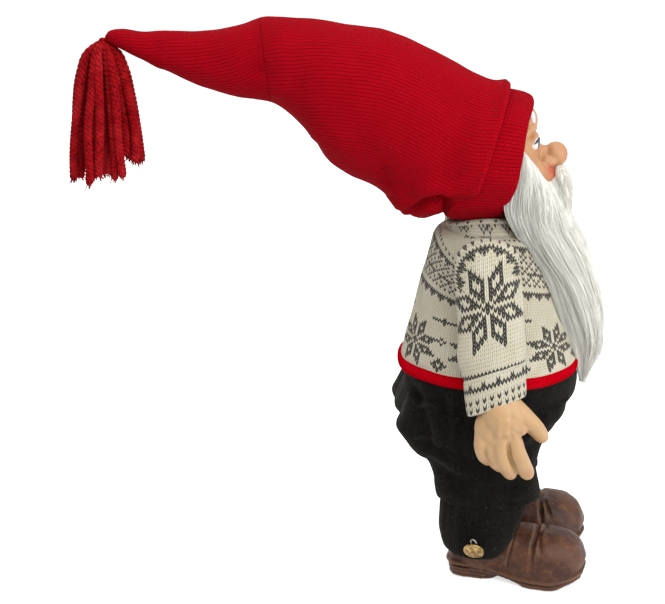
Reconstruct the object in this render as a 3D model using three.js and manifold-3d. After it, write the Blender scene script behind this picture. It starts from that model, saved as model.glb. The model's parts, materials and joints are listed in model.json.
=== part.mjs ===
// A standing santa doll with a long knitted cap, built as separate pieces.
// Millimetres, +Z up. The doll faces +X, and its left side is +Y.
// Heights are above the floor, and x is measured forward from the neck axis.

import * as THREE from 'three';
import { mergeVertices } from 'three/addons/utils/BufferGeometryUtils.js';
import Module from 'manifold-3d';

const wasm = await Module();
wasm.setup();

const radians = THREE.MathUtils.degToRad;
const mix = THREE.MathUtils.lerp;

// Fits
const seatGap = 0.3; // between pieces that rest on each other
const runningGap = 0.4; // between pieces that turn on each other
const bendGap = 0.75; // between the halves of a soft bend, which turn as a ball in a socket

// Shoes
const shoeLength = 87;
const shoeWidth = 45; // of the upper at the ball of the foot
const shoeHeight = 35; // of the upper, at the instep
const rightToeOut = radians(15);
const leftToeOut = radians(3);
const shoeHeelReach = 22; // from the leg's axis back to the heel
const shoeInward = 3; // the shoe's middle line, from the leg's axis towards the other leg
const heelHeight = 8;
const heelLength = 31;
const treadHeight = 4; // sole under the ball of the foot
const weltHeight = 3;
const weltReach = 1.8; // past the upper
const toeSpring = 2;
const shankHeight = 5; // of the arch, where it leaves the heel
const breastSlope = 1.5; // of the heel's front face
const treadStart = 0.42; // where the sole meets the floor, as a share of the way to the toe
const treadEnd = 0.86;
const ankleRadius = 15;
const ankleHeight = 40;
// The upper from heel to toe: shares of its length, width and height
const shoeStations = [
  { along: 0, width: 0.34, top: 0.472 },
  { along: 0.03, width: 0.54, top: 0.542 },
  { along: 0.09, width: 0.66, top: 0.667 },
  { along: 0.22, width: 0.68, top: 0.972 },
  { along: 0.36, width: 0.71, top: 1 },
  { along: 0.52, width: 0.84, top: 0.944 },
  { along: 0.68, width: 1, top: 0.903 },
  { along: 0.8, width: 0.99, top: 0.886 },
  { along: 0.9, width: 0.87, top: 0.771 },
  { along: 0.96, width: 0.66, top: 0.6 },
  { along: 1, width: 0.3, top: 0.4 },
];

// Legs
const legSpacing = 26; // each leg's axis from the middle plane
const leftLegAhead = 5; // of the right one, because the doll stands with its left foot forward
const legRodRadius = 4;
const legRodInShoe = 24;
const legRodInBody = 22;
const cuffBottom = 19;
const cuffFrontRise = 20; // of its lower edge in front, where it lies on the shoe
const cuffRiseStart = 2; // ahead of the leg's axis
const cuffHeight = 27;
const cuffHalfDepth = 25;
const cuffHalfWidth = 24.5;
const cuffBack = 2; // its middle, behind the leg's axis
const cuffDrawIn = 2.5; // at its lower edge
const cuffFullShare = 0.4; // how far up it reaches its full size
const cuffWall = 2.4;
const legLength = 60;
const legHalfDepth = 53; // at the crotch
const legFoldCount = 7;
const legFoldDepth = 2.4;
// A leg from cuff to crotch: height share, middle and half depth as shares of the half depth
// at the crotch, width share, fold share
const legStations = [
  { share: 0, x: 0.019, depth: 0.509, width: 0.93, fold: 0.5 },
  { share: 0.05, x: 0.038, depth: 0.604, width: 0.98, fold: 1 },
  { share: 0.25, x: 0.028, depth: 0.651, width: 1, fold: 1 },
  { share: 0.45, x: -0.009, depth: 0.698, width: 1, fold: 0.8 },
  { share: 0.65, x: -0.047, depth: 0.83, width: 1, fold: 0.6 },
  { share: 0.82, x: -0.038, depth: 0.962, width: 1, fold: 0.4 },
  { share: 1, x: -0.009, depth: 1, width: 1, fold: 0.2 },
];

// Cuff buttons
const buttonRadius = 6.5;
const buttonThickness = 2.6;
const buttonDome = 1.9;
const buttonShankRadius = 1.8;
const buttonShankLength = 1.6;
const buttonTurn = radians(16); // behind straight out to the side
const buttonDip = radians(31); // because the cuff rounds under to its lower edge
const buttonSeat = 0.9; // the shank's end, off the sloping cuff
const buttonBack = 7; // its root, behind the leg's axis
const buttonHeight = 28;

// Body
const seatHeight = 30; // from the crotch to the sweater's hem
const waistWall = 2;
const waistTuck = 6; // how far the waist goes up inside the sweater
const torsoLength = 78; // from the hem to the shoulders
const hemHalfDepth = 54;
const hemHalfWidth = 55;
const hemForward = 2; // the belly's middle, ahead of the neck axis
const shoulderHalfDepth = 35;
const shoulderHalfWidth = 37.5;
const shoulderRound = 8;
const bodySides = 24; // points round each level section of the body
const sweaterWall = 2.2;
const hemTapeHeight = 5;
const hemTapeProud = 0.8; // past the sweater
const hemTapeInset = 2.2; // inside the sweater's outer face
const seatReach = 1; // of the seat past the hem in depth
const seatNarrower = 0.5; // than the hem
const seatForward = 4;
const crotchWall = 4;
const seatDrawIn = 1.5; // of the seat, where the legs start
const corePelvisRound = 10;

// Neck and head
const neckRadius = 15;
const neckHoleRadius = 8;
const neckPostInBody = 30;
const neckPostInHead = 26;
const collarHeight = 6;
const collarWall = 7;
const headRise = 46; // from the shoulders to the head's middle
const headBack = 3; // the head's middle, behind the neck axis
const headHalfDepth = 34;
const headHalfWidth = 34;
const headHalfHeight = 37.5;
const headWall = 4;
const noseRadius = 7.5;
const noseForward = 43; // from the head's middle
const noseRise = 1;
const bridgeRise = 4; // the nose's root, above its ball
const bridgeForward = 26;
const browForward = 6;
const browRise = 16;
const browHalfWidth = 29;
const browHalfDepth = 24;
const cheekRadius = 11.5;
const cheekApart = 15;
const cheekForward = 22.5;
const cheekDrop = 4;
const eyeRadius = 5;
const eyeApart = 12;
const eyeRise = 12;

// Beard and moustache
const beardDrop = 8; // of its roots, below the head's middle
const beardLength = 131;
const beardForward = 72; // its fullest front, ahead of the neck axis
const beardHalfWidth = 29;
const beardClear = 1.2; // from the sweater and the trousers
// The beard from its roots down: shares of its length, its forward reach and its half width
const beardStations = [
  { fall: 0, front: 0.611, width: 0.586 },
  { fall: 0.092, front: 0.694, width: 0.931 },
  { fall: 0.214, front: 0.722, width: 1 },
  { fall: 0.366, front: 0.833, width: 0.948 },
  { fall: 0.519, front: 0.917, width: 0.931 },
  { fall: 0.656, front: 0.972, width: 0.828 },
  { fall: 0.779, front: 1, width: 0.655 },
  { fall: 0.885, front: 0.958, width: 0.414 },
  { fall: 1, front: 0.903, width: 0.12 },
];
const beardHalfDepth = 24;
// The sideburns from the cap down: shares of the head's half sizes, and of the radius
const sideburnRadius = 8;
const sideburnStations = [
  { rise: 0.27, x: 0.5, out: 0.85, radius: 0.38 },
  { rise: -0.13, x: 0.59, out: 0.88, radius: 0.69 },
  { rise: -0.53, x: 0.76, out: 0.74, radius: 1 },
];
const moustacheForward = 41;
const moustacheDrop = 10; // below the head's middle
const moustacheHalfWidth = 17;
const moustacheHalfHeight = 5;
const moustacheHalfDepth = 5.5;

// Cap
const capLength = 222; // from the mouth's middle back to the end
const capHalfHeight = 45;
const capHalfWidth = 42.5;
const capMouthBack = 3; // the mouth's middle, behind the head's middle
const capMouthRise = 5; // and above it
// By sections from the mouth to the tip: back and rise as shares of the cap's length, half
// sizes as shares of the fullest, tilt back from upright in degrees, and how far the sides
// lead forward as a share of the half width. It bends softly at the two sections named as bends.
const capStations = [
  { back: 0, rise: 0, size: 0.933, width: 0.929, tilt: 27, lead: 0.259 },
  { back: 0.09, rise: 0.014, size: 0.989, width: 0.976, tilt: 24, lead: 0.165 },
  { back: 0.18, rise: 0.065, size: 1, width: 1, tilt: 13, lead: 0.047 },
  { back: 0.279, rise: 0.115, size: 0.989, width: 0.988, tilt: 5, lead: 0 },
  { back: 0.356, rise: 0.14, size: 0.933, width: 0.941, tilt: 1, lead: 0, bend: 'tail' },
  { back: 0.432, rise: 0.171, size: 0.856, width: 0.847, tilt: -3, lead: 0 },
  { back: 0.495, rise: 0.209, size: 0.689, width: 0.706, tilt: -7, lead: 0 },
  { back: 0.568, rise: 0.243, size: 0.578, width: 0.588, tilt: -9, lead: 0 },
  { back: 0.658, rise: 0.241, size: 0.436, width: 0.461, tilt: -7, lead: 0 },
  { back: 0.757, rise: 0.25, size: 0.351, width: 0.372, tilt: -7, lead: 0, bend: 'tip' },
  { back: 0.874, rise: 0.268, size: 0.256, width: 0.271, tilt: -14, lead: 0 },
  { back: 0.95, rise: 0.291, size: 0.167, width: 0.176, tilt: -20, lead: 0 },
  { back: 1, rise: 0.307, size: 0.053, width: 0.056, tilt: -20, lead: 0 },
];
const bendBallShare = 1.05; // the ball at a bend over the cap's half height there
const brimWall = 4.2;
const brimAhead = 11;
const brimBehind = 6;
const brimFit = 0.5; // between the brim and the cap inside it

// Tassel
const capKnotRadius = 4; // at the cap's end, where the tassel hangs
const capKnotReach = 3; // its middle, past the cap's last section
const tasselLength = 88;
const tasselRadius = 24;
const tasselNeckRadius = 3.4;
const tasselNeckLength = 9;
// The tassel below its neck: fall as a share of the length that is left, radius share, flutes
const tasselStations = [
  { fall: 0.06, radius: 0.36, flute: 0.2 },
  { fall: 0.15, radius: 0.62, flute: 0.6 },
  { fall: 0.33, radius: 0.82, flute: 1 },
  { fall: 1, radius: 1, flute: 1 },
];
const tasselFluteCount = 9;
const tasselFluteDepth = 1.6;
const tieRadius = 1.3;

// Arms
const armSplay = radians(0.9); // out from the slope of the body's side
const armBack = 4; // the shoulder's pivot, behind the neck axis
const armPivotDrop = 9; // below the shoulders
const armClear = 0.6; // from the sweater's side
const sleeveHalfWidth = 19.2;
const sleeveHalfDepth = 13.5;
const sleeveTop = 15; // above the pivot
// A sleeve from the shoulder down: fall as a share of the sleeve's length, or of its top
// where it is negative, with width and depth as shares of the widest
const sleeveStations = [
  { fall: -1, width: 0.32, depth: 0.35 },
  { fall: -0.85, width: 0.6, depth: 0.68 },
  { fall: -0.5, width: 0.86, depth: 0.92 },
  { fall: 0, width: 0.97, depth: 1 },
  { fall: 0.4, width: 1, depth: 1 },
  { fall: 0.75, width: 0.99, depth: 0.99 },
  { fall: 1, width: 0.93, depth: 0.96 },
];
const sleeveLength = 62; // from the pivot to the cuff
const cuffEdgeLength = 21;
const cuffEdgeHalfWidth = 17.4;
const cuffEdgeHalfDepth = 12.6;
const cuffEdgeWall = 2.2;
const cuffEdgeSlant = 0.4; // rise per length forward, because the cuff is longer behind
const wristUp = 7; // the wrist, above the cuff's edge
const wristForward = 5; // from the pivot, because the arm leans forward
const wristRadius = 8.5;
const wristInSleeve = 9;
const armWireRadius = 1.6;
const armWireInBody = 13;
const armWireInHand = 20;
const armDiscRadius = 6;
const armDiscThickness = 2;
const wristLength = 14; // of the hand's shaft, below the wrist
const palmRoomDrop = 8.2; // of the cuff's hollow, below the wrist
const palmLength = 24;
const palmHalfWidth = 13;
const palmHalfDepth = 7;
// The palm from the wrist down: fall as a share of its length, with shares of its half sizes
const palmStations = [
  { fall: -0.2, width: 0.69, depth: 1.14 },
  { fall: 0.12, width: 1, depth: 1.07 },
  { fall: 0.8, width: 1, depth: 1 },
  { fall: 0.92, width: 0.88, depth: 0.71 },
];
const fingerRadius = 3.9;
const fingerLength = 22;
const fingerStations = [
  { place: -1, length: 0.7 },
  { place: -0.34, length: 0.93 },
  { place: 0.34, length: 1 },
  { place: 1, length: 0.92 },
];
// A finger from the knuckle: fall and curl as shares of its length, and radius share
const fingerCurl = [
  { fall: -0.05, curl: 0, radius: 1 },
  { fall: 0.5, curl: 0.12, radius: 1 },
  { fall: 0.85, curl: 0.32, radius: 0.85 },
  { fall: 1, curl: 0.42, radius: 0.45 },
];
const thumbRadius = 4.2;
const thumbLength = 28;
// The thumb from inside the palm: forward, fall and curl as shares of its length
const thumbStations = [
  { forward: 0.18, fall: 0, curl: 0, radius: 1.2 },
  { forward: 0.5, fall: 0.21, curl: 0.07, radius: 1.05 },
  { forward: 0.83, fall: 0.54, curl: 0.14, radius: 0.9 },
  { forward: 0.89, fall: 0.68, curl: 0.18, radius: 0.5 },
];

// Sizes that follow from the lengths above
const toeReach = shoeLength - shoeHeelReach;
const heelTop = heelHeight + weltHeight;
const ballTop = treadHeight + weltHeight;
const soleWaist = -0.2 * shoeHeelReach; // where the sole starts down from the heel
const cuffTop = cuffBottom + cuffHeight;
const crotch = cuffTop + legLength;
const hem = crotch + seatHeight;
const shoulder = hem + torsoLength;
const headMiddle = shoulder + headRise;
const coreBottom = crotch + crotchWall + seatGap;
const seatHalfDepth = hemHalfDepth + seatReach;
const seatHalfWidth = hemHalfWidth - seatNarrower;
const wristDrop = sleeveLength + cuffEdgeLength - wristUp; // from the pivot
const armTilt = Math.atan2(hemHalfWidth - shoulderHalfWidth, torsoLength) + armSplay;

const capSections = capStations.map(({ back, rise, size, width, tilt, lead, bend }) => ({
  x: -headBack - capMouthBack - back * capLength,
  height: headMiddle + capMouthRise + rise * capLength,
  halfHeight: size * capHalfHeight,
  halfWidth: width * capHalfWidth,
  tilt: radians(tilt),
  lead: lead * capHalfWidth,
  bend,
}));
const capBend = capSections.find(({ bend }) => bend === 'tail');
const capTipBend = capSections.find(({ bend }) => bend === 'tip');
const capEnd = capSections[capSections.length - 1];
const tasselTop = new THREE.Vector3(capEnd.x - capKnotReach, 0, capEnd.height);

const across = new THREE.Vector3(0, 1, 0);
const forward = new THREE.Vector3(1, 0, 0);

const knitRed = new THREE.MeshStandardMaterial({ color: 0xa80f1c, roughness: 0.95 });
const yarnRed = new THREE.MeshStandardMaterial({ color: 0x8a1018, roughness: 0.95 });
const tapeRed = new THREE.MeshStandardMaterial({ color: 0xd21020, roughness: 0.85 });
const knitCream = new THREE.MeshStandardMaterial({ color: 0xd8d2c4, roughness: 0.95 });
const skin = new THREE.MeshStandardMaterial({ color: 0xd9a97e, roughness: 0.6 });
const eyeGlass = new THREE.MeshStandardMaterial({ color: 0x20140e, roughness: 0.1 });
const whiteFibre = new THREE.MeshStandardMaterial({ color: 0xf0efec, roughness: 0.8 });
const blackWool = new THREE.MeshStandardMaterial({ color: 0x121214, roughness: 1 });
const brass = new THREE.MeshStandardMaterial({ color: 0x9a7a48, roughness: 0.4, metalness: 1 });
const shoeBrown = new THREE.MeshStandardMaterial({ color: 0x5a2f1c, roughness: 0.55 });
const stuffing = new THREE.MeshStandardMaterial({ color: 0xcfc8b8, roughness: 1 });
const beech = new THREE.MeshStandardMaterial({ color: 0xb98f5e, roughness: 0.7 });
const wire = new THREE.MeshStandardMaterial({ color: 0x8d9095, roughness: 0.4, metalness: 1 });

// A ring of points round a middle. flute gives each point's extra reach by its angle.
function oval(middle, side, rise, halfSide, halfRise, count, flute = () => 0) {
  const points = [];
  for (let i = 0; i < count; i += 1) {
    const angle = (2 * Math.PI * i) / count;
    const reach = flute(angle);
    const sideways = (halfSide + reach) * Math.cos(angle);
    const upwards = (halfRise + reach) * Math.sin(angle);
    points.push(middle.clone().addScaledVector(side, sideways).addScaledVector(rise, upwards));
  }
  return points;
}

function levelOval(x, y, height, halfX, halfY, count, flute) {
  return oval(new THREE.Vector3(x, y, height), forward, across, halfX, halfY, count, flute);
}

// A closed skin over rings of equal count, with flat ends.
function loft(rings) {
  const count = rings[0].length;
  const points = rings.flat();
  const faces = [];
  for (let r = 0; r + 1 < rings.length; r += 1) {
    for (let i = 0; i < count; i += 1) {
      const a = r * count + i;
      const b = r * count + ((i + 1) % count);
      faces.push(a, b, b + count, a, b + count, a + count);
    }
  }
  const middleOf = (ring) => ring
    .reduce((sum, point) => sum.add(point), new THREE.Vector3())
    .divideScalar(ring.length);
  const last = (rings.length - 1) * count;
  const startMiddle = points.length;
  points.push(middleOf(rings[0]), middleOf(rings[rings.length - 1]));
  for (let i = 0; i < count; i += 1) {
    const next = (i + 1) % count;
    faces.push(startMiddle, next, i);
    faces.push(startMiddle + 1, last + i, last + next);
  }
  const geometry = new THREE.BufferGeometry().setFromPoints(points);
  geometry.setIndex(faces);
  return facingOut(geometry);
}

// The same surface with its faces turned to point out.
function facingOut(geometry) {
  const place = geometry.attributes.position;
  const index = geometry.index.array;
  const [a, b, c] = [new THREE.Vector3(), new THREE.Vector3(), new THREE.Vector3()];
  let volume = 0;
  for (let i = 0; i < index.length; i += 3) {
    a.fromBufferAttribute(place, index[i]);
    b.fromBufferAttribute(place, index[i + 1]);
    c.fromBufferAttribute(place, index[i + 2]);
    volume += a.dot(b.cross(c));
  }
  if (volume < 0) {
    const turned = Array.from(index);
    for (let i = 0; i < turned.length; i += 3) {
      [turned[i], turned[i + 1]] = [turned[i + 1], turned[i]];
    }
    geometry.setIndex(turned);
  }
  return geometry;
}

function ellipsoid(middle, halfX, halfY, halfZ, columns, rows) {
  const geometry = new THREE.SphereGeometry(1, columns, rows);
  geometry.rotateX(Math.PI / 2).scale(halfX, halfY, halfZ);
  return geometry.translate(middle.x, middle.y, middle.z);
}

function ball(middle, radius, columns = 24, rows = 16) {
  return ellipsoid(middle, radius, radius, radius, columns, rows);
}

// A round bar through points, with one radius for each point.
function bar(points, radii, sides = 12) {
  const rings = points.map((point, i) => {
    const before = points[Math.max(i - 1, 0)];
    const after = points[Math.min(i + 1, points.length - 1)];
    const along = after.clone().sub(before).normalize();
    const helper = Math.abs(along.dot(forward)) > 0.9 ? across : forward;
    const side = helper.clone().addScaledVector(along, -helper.dot(along)).normalize();
    const rise = along.clone().cross(side);
    return oval(point, side, rise, radii[i], radii[i], sides);
  });
  return loft(rings);
}

function rod(from, to, radius, sides = 20) {
  return bar([from, to], [radius, radius], sides);
}

function solid(geometry) {
  const bare = geometry.clone();
  bare.deleteAttribute('normal');
  bare.deleteAttribute('uv');
  const merged = mergeVertices(bare, 1e-5);
  return new wasm.Manifold(new wasm.Mesh({
    numProp: 3,
    vertProperties: Float32Array.from(merged.attributes.position.array),
    triVerts: Uint32Array.from(merged.index.array),
  }));
}

function geometryOf(manifold) {
  const mesh = manifold.getMesh();
  const geometry = new THREE.BufferGeometry();
  geometry.setAttribute('position', new THREE.BufferAttribute(mesh.vertProperties, 3));
  geometry.setIndex(new THREE.BufferAttribute(mesh.triVerts, 1));
  geometry.computeVertexNormals();
  return geometry;
}

function cut(shape, ...tools) {
  return geometryOf(tools.reduce((left, tool) => left.subtract(solid(tool)), solid(shape)));
}

function join(...shapes) {
  return geometryOf(shapes.map(solid).reduce((sum, shape) => sum.add(shape)));
}

function common(shape, other) {
  return geometryOf(solid(shape).intersect(solid(other)));
}

function add(group, name, geometry, material) {
  geometry.deleteAttribute('uv');
  geometry.computeVertexNormals();
  const mesh = new THREE.Mesh(geometry, material);
  mesh.name = name;
  group.add(mesh);
}

// The level section of the body at a height, drawn in at the sides and from the top.
function bodySection(height, sideInset, topInset) {
  const share = (height - hem) / torsoLength;
  const roundStart = shoulder - topInset - shoulderRound;
  const over = THREE.MathUtils.clamp((height - roundStart) / shoulderRound, 0, 1);
  const drawIn = sideInset + shoulderRound * (1 - Math.sqrt(1 - over * over));
  return {
    x: mix(hemForward, 0, share),
    halfX: mix(hemHalfDepth, shoulderHalfDepth, share) - drawIn,
    halfY: mix(hemHalfWidth, shoulderHalfWidth, share) - drawIn,
  };
}

function bodyLoft(lowHeights, sideInsetAt, topInset) {
  const top = shoulder - topInset;
  const roundHeights = [0, 0.45, 0.78, 0.97].map((share) => top - shoulderRound * (1 - share));
  return loft([...lowHeights, ...roundHeights].map((height) => {
    const { x, halfX, halfY } = bodySection(height, sideInsetAt(height), topInset);
    return levelOval(x, 0, height, halfX, halfY, bodySides);
  }));
}

function sweaterForm(inset, low) {
  const heights = [low, mix(hem, shoulder, 0.35), mix(hem, shoulder, 0.65)];
  return bodyLoft(heights, () => inset, inset);
}

// The stuffed form inside. At the hem it leaves room for the trousers' waist.
function coreForm(grow) {
  const waistTop = hem + waistTuck + 2 * seatGap;
  const heights = [coreBottom - grow, coreBottom + corePelvisRound, waistTop, mix(waistTop, shoulder, 0.5)];
  const hemInset = sweaterWall + waistWall + 2 * seatGap;
  const shoulderInset = sweaterWall + seatGap;
  const insetAt = (height) => {
    const pelvis = height < coreBottom + 1 ? corePelvisRound : 0;
    const share = THREE.MathUtils.clamp((height - waistTop) / (shoulder - waistTop), 0, 1);
    return mix(hemInset, shoulderInset, share) + pelvis - grow;
  };
  return bodyLoft(heights, insetAt, shoulderInset - grow);
}

function neckPost(grow) {
  const low = new THREE.Vector3(0, 0, shoulder - neckPostInBody - grow);
  const top = new THREE.Vector3(0, 0, shoulder + neckPostInHead + grow);
  return rod(low, top, neckHoleRadius + grow, 14);
}

// A leg's axis, ahead of the neck axis.
function legAhead(side) {
  return side > 0 ? leftLegAhead : 0;
}

function legRod(side, grow) {
  const [x, y] = [legAhead(side), side * legSpacing];
  const low = new THREE.Vector3(x, y, ankleHeight - legRodInShoe - grow);
  const top = new THREE.Vector3(x, y, coreBottom + legRodInBody + grow);
  return rod(low, top, legRodRadius + grow, 10);
}

// Everything that belongs to one arm hangs in a group at the shoulder's pivot.
function armFrame(side) {
  const height = shoulder - armPivotDrop;
  const reach = bodySection(height, 0, 0).halfY + armClear;
  const frame = new THREE.Group();
  frame.position.set(-armBack, side * reach, height);
  frame.rotation.x = side * armTilt;
  frame.updateMatrixWorld();
  return frame;
}

function handFrame(side) {
  const frame = new THREE.Group();
  frame.position.set(wristForward, side * sleeveHalfDepth, -wristDrop);
  frame.rotation.y = -Math.atan2(wristForward, wristDrop);
  frame.updateMatrixWorld();
  return frame;
}

// The wire turns in the body, bends at the shoulder and runs down into the hand.
function armWire(side, grow) {
  const middle = side * sleeveHalfDepth;
  const wrist = handFrame(side);
  const end = wrist.localToWorld(new THREE.Vector3(0, 0, -armWireInHand - grow));
  const bend = 2 * armWireRadius;
  const points = [
    new THREE.Vector3(0, -side * armWireInBody, 0),
    new THREE.Vector3(0, middle - side * bend, 0),
    new THREE.Vector3(0, middle - side * 0.3 * bend, -0.3 * bend),
    new THREE.Vector3(0, middle, -bend),
    end,
  ];
  const discInner = new THREE.Vector3(0, -side * (armWireInBody + armDiscThickness + grow), 0);
  const discOuter = new THREE.Vector3(0, -side * (armWireInBody - 0.5 - grow), 0);
  return join(
    bar(points, points.map(() => armWireRadius + grow), 8),
    rod(discInner, discOuter, armDiscRadius + grow, 14),
  );
}

function footFrame(side) {
  const frame = new THREE.Group();
  frame.position.set(legAhead(side), side * (legSpacing - shoeInward), 0);
  frame.rotation.z = side > 0 ? leftToeOut : -rightToeOut;
  frame.updateMatrixWorld();
  return frame;
}

// The upper of a shoe in the foot's frame, a row of domes that stand on the sole.
function shoeUpper(grow) {
  const steps = 10;
  return loft(shoeStations.map(({ along, width, top }) => {
    const x = mix(-shoeHeelReach - grow, toeReach + grow, along);
    const share = THREE.MathUtils.smoothstep(x, soleWaist, treadStart * toeReach);
    const low = mix(heelTop, ballTop, share) - 1;
    const halfWidth = width * shoeWidth / 2 + grow;
    const dome = [];
    for (let i = 0; i <= steps; i += 1) {
      const angle = (Math.PI * i) / steps;
      const y = Math.sign(Math.cos(angle)) * Math.abs(Math.cos(angle)) ** 0.8;
      const z = Math.sin(angle) ** 0.8;
      dome.push(new THREE.Vector3(x, y * halfWidth, low + z * (top * shoeHeight + grow - low)));
    }
    return dome;
  }));
}

// One cast shoe: an upper over a sole whose outline and side view are both drawn.
function shoe(side) {
  const plan = new THREE.Shape();
  const edge = shoeStations.map(({ along, width }) => new THREE.Vector2(
    mix(-shoeHeelReach - weltReach, toeReach + weltReach, along),
    width * shoeWidth / 2 + weltReach,
  ));
  plan.setFromPoints([...edge, ...edge.map(({ x, y }) => new THREE.Vector2(x, -y)).reverse()]);
  const view = new THREE.Shape();
  const back = -shoeHeelReach - 2 * weltReach;
  const front = toeReach + 2 * weltReach;
  const breast = -shoeHeelReach + heelLength;
  const ballStart = treadStart * toeReach;
  view.moveTo(back, 0);
  view.lineTo(breast, 0);
  view.lineTo(breast + breastSlope, shankHeight + 1);
  view.quadraticCurveTo(0.6 * ballStart, shankHeight, ballStart, 0);
  view.lineTo(treadEnd * toeReach, 0);
  view.quadraticCurveTo(toeReach, 0.1 * toeSpring, front, toeSpring);
  view.lineTo(front, toeSpring + ballTop);
  view.quadraticCurveTo(toeReach, ballTop, treadEnd * toeReach, ballTop);
  view.lineTo(ballStart, ballTop);
  view.quadraticCurveTo(0.5 * ballStart, heelTop, soleWaist, heelTop);
  view.lineTo(back, heelTop);
  const planSolid = new THREE.ExtrudeGeometry(plan, { depth: 3 * heelTop, bevelEnabled: false });
  const viewSolid = new THREE.ExtrudeGeometry(view, {
    depth: 2 * shoeWidth, bevelEnabled: false, curveSegments: 6,
  });
  viewSolid.rotateX(Math.PI / 2).translate(0, shoeWidth, 0);
  const sole = common(planSolid, viewSolid);
  const foot = join(shoeUpper(0), sole).applyMatrix4(footFrame(side).matrixWorld);
  const [x, y] = [legAhead(side), side * legSpacing];
  const shaftLow = new THREE.Vector3(x, y, heelTop);
  const shaft = rod(shaftLow, new THREE.Vector3(x, y, ankleHeight), ankleRadius);
  return cut(join(foot, shaft), legRod(side, seatGap));
}

function trouserLeg(side) {
  const rings = legStations.map(({ share, x, depth: depthShare, width, fold }) => {
    const depth = fold * legFoldDepth;
    const flute = (angle) => -depth * (1 + Math.cos(legFoldCount * angle)) / 2;
    const height = mix(cuffTop + seatGap, crotch - seatGap, share);
    const halfWidth = width * (legSpacing - seatGap / 2);
    const halfDepth = depthShare * legHalfDepth;
    const middle = x * legHalfDepth + (1 - share) * legAhead(side);
    return levelOval(
      middle, side * legSpacing, height, halfDepth, halfWidth, 4 * legFoldCount, flute,
    );
  });
  return cut(loft(rings), legRod(side, seatGap));
}

function trouserSeat() {
  const underTape = hem - hemTapeHeight - seatGap;
  const waistAt = (height) => {
    const { x, halfX, halfY } = bodySection(height, sweaterWall + seatGap, 0);
    return levelOval(x, 0, height, halfX, halfY, bodySides);
  };
  const seatAt = (share, x, drawIn) => levelOval(
    x, 0, mix(crotch, underTape, share), seatHalfDepth - drawIn, seatHalfWidth - drawIn, bodySides,
  );
  const underHem = seatReach + hemTapeInset;
  const outer = loft([
    seatAt(0, 0, seatDrawIn), seatAt(0.35, 0.5 * seatForward, 0), seatAt(0.8, seatForward, 0),
    seatAt(1, hemForward, underHem), waistAt(hem), waistAt(hem + waistTuck),
  ]);
  return cut(outer, coreForm(seatGap), legRod(-1, seatGap), legRod(1, seatGap));
}

// The height of a cuff's lower edge, which rises to the front, by the reach ahead of the leg.
function cuffLowAt(reach) {
  const front = cuffHalfDepth - cuffBack;
  const share = Math.max(reach - cuffRiseStart, 0) / (front - cuffRiseStart);
  return cuffBottom + cuffFrontRise * share * share;
}

// The gathered band at the trouser's end.
function cuffBand(side) {
  const folds = (angle) => -0.25 * legFoldDepth * (1 + Math.cos(legFoldCount * angle));
  const [x, y] = [legAhead(side) - cuffBack, side * legSpacing];
  const ringAt = (share, inset, flute) => levelOval(
    x, y, 0, cuffHalfDepth - inset, cuffHalfWidth - inset, 4 * legFoldCount, flute,
  ).map((point) => point.setZ(mix(cuffLowAt(point.x - legAhead(side)), cuffTop, share)));
  const outer = [ringAt(0, cuffDrawIn), ringAt(cuffFullShare, 0), ringAt(1, 0, folds)];
  const inner = [
    ringAt(-0.1, cuffDrawIn + cuffWall), ringAt(cuffFullShare, cuffWall), ringAt(1.1, cuffWall),
  ];
  const room = shoeUpper(seatGap).applyMatrix4(footFrame(side).matrixWorld);
  return cut(loft(outer), loft(inner), room);
}

// The button's shank stands on the band, where the band's own section is at that height.
function cuffButton(side) {
  const low = cuffLowAt(-buttonBack);
  const share = Math.min((buttonHeight - low) / (cuffTop - low) / cuffFullShare, 1);
  const inset = mix(cuffDrawIn, 0, share);
  const back = buttonBack - cuffBack;
  const out = (cuffHalfWidth - inset) * Math.sqrt(1 - (back / (cuffHalfDepth - inset)) ** 2);
  const along = new THREE.Vector3(
    -Math.sin(buttonTurn) * Math.cos(buttonDip),
    side * Math.cos(buttonTurn) * Math.cos(buttonDip),
    -Math.sin(buttonDip),
  );
  const root = new THREE.Vector3(legAhead(side) - buttonBack, side * (legSpacing + out), buttonHeight);
  root.addScaledVector(along, buttonSeat);
  const rim = buttonShankLength + buttonThickness;
  const steps = [
    [0, buttonShankRadius], [buttonShankLength, buttonShankRadius],
    [buttonShankLength, buttonRadius], [rim, buttonRadius],
    [rim + 0.6 * buttonDome, 0.72 * buttonRadius], [rim + buttonDome, 0.3 * buttonRadius],
  ];
  const points = steps.map(([reach]) => root.clone().addScaledVector(along, reach));
  return bar(points, steps.map(([, radius]) => radius), 14);
}

// Room for one arm's wire to turn in, placed on the body.
function armWireRoom(side) {
  return armWire(side, runningGap).applyMatrix4(armFrame(side).matrixWorld);
}

function sweaterBody() {
  const bore = rod(
    new THREE.Vector3(0, 0, shoulder - 3 * sweaterWall),
    new THREE.Vector3(0, 0, shoulder + 1),
    neckHoleRadius + 2 * seatGap,
  );
  const inside = sweaterForm(sweaterWall, hem - 1);
  return cut(sweaterForm(0, hem), inside, bore, armWireRoom(-1), armWireRoom(1));
}

function hemTape() {
  const tapeAt = (height, reach) => levelOval(
    hemForward, 0, height, hemHalfDepth + reach, hemHalfWidth + reach, bodySides,
  );
  const low = hem - hemTapeHeight;
  return cut(
    loft([tapeAt(low, hemTapeProud), tapeAt(hem - seatGap, hemTapeProud)]),
    loft([tapeAt(low - 1, -hemTapeInset), tapeAt(hem + 1, -hemTapeInset)]),
  );
}

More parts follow.
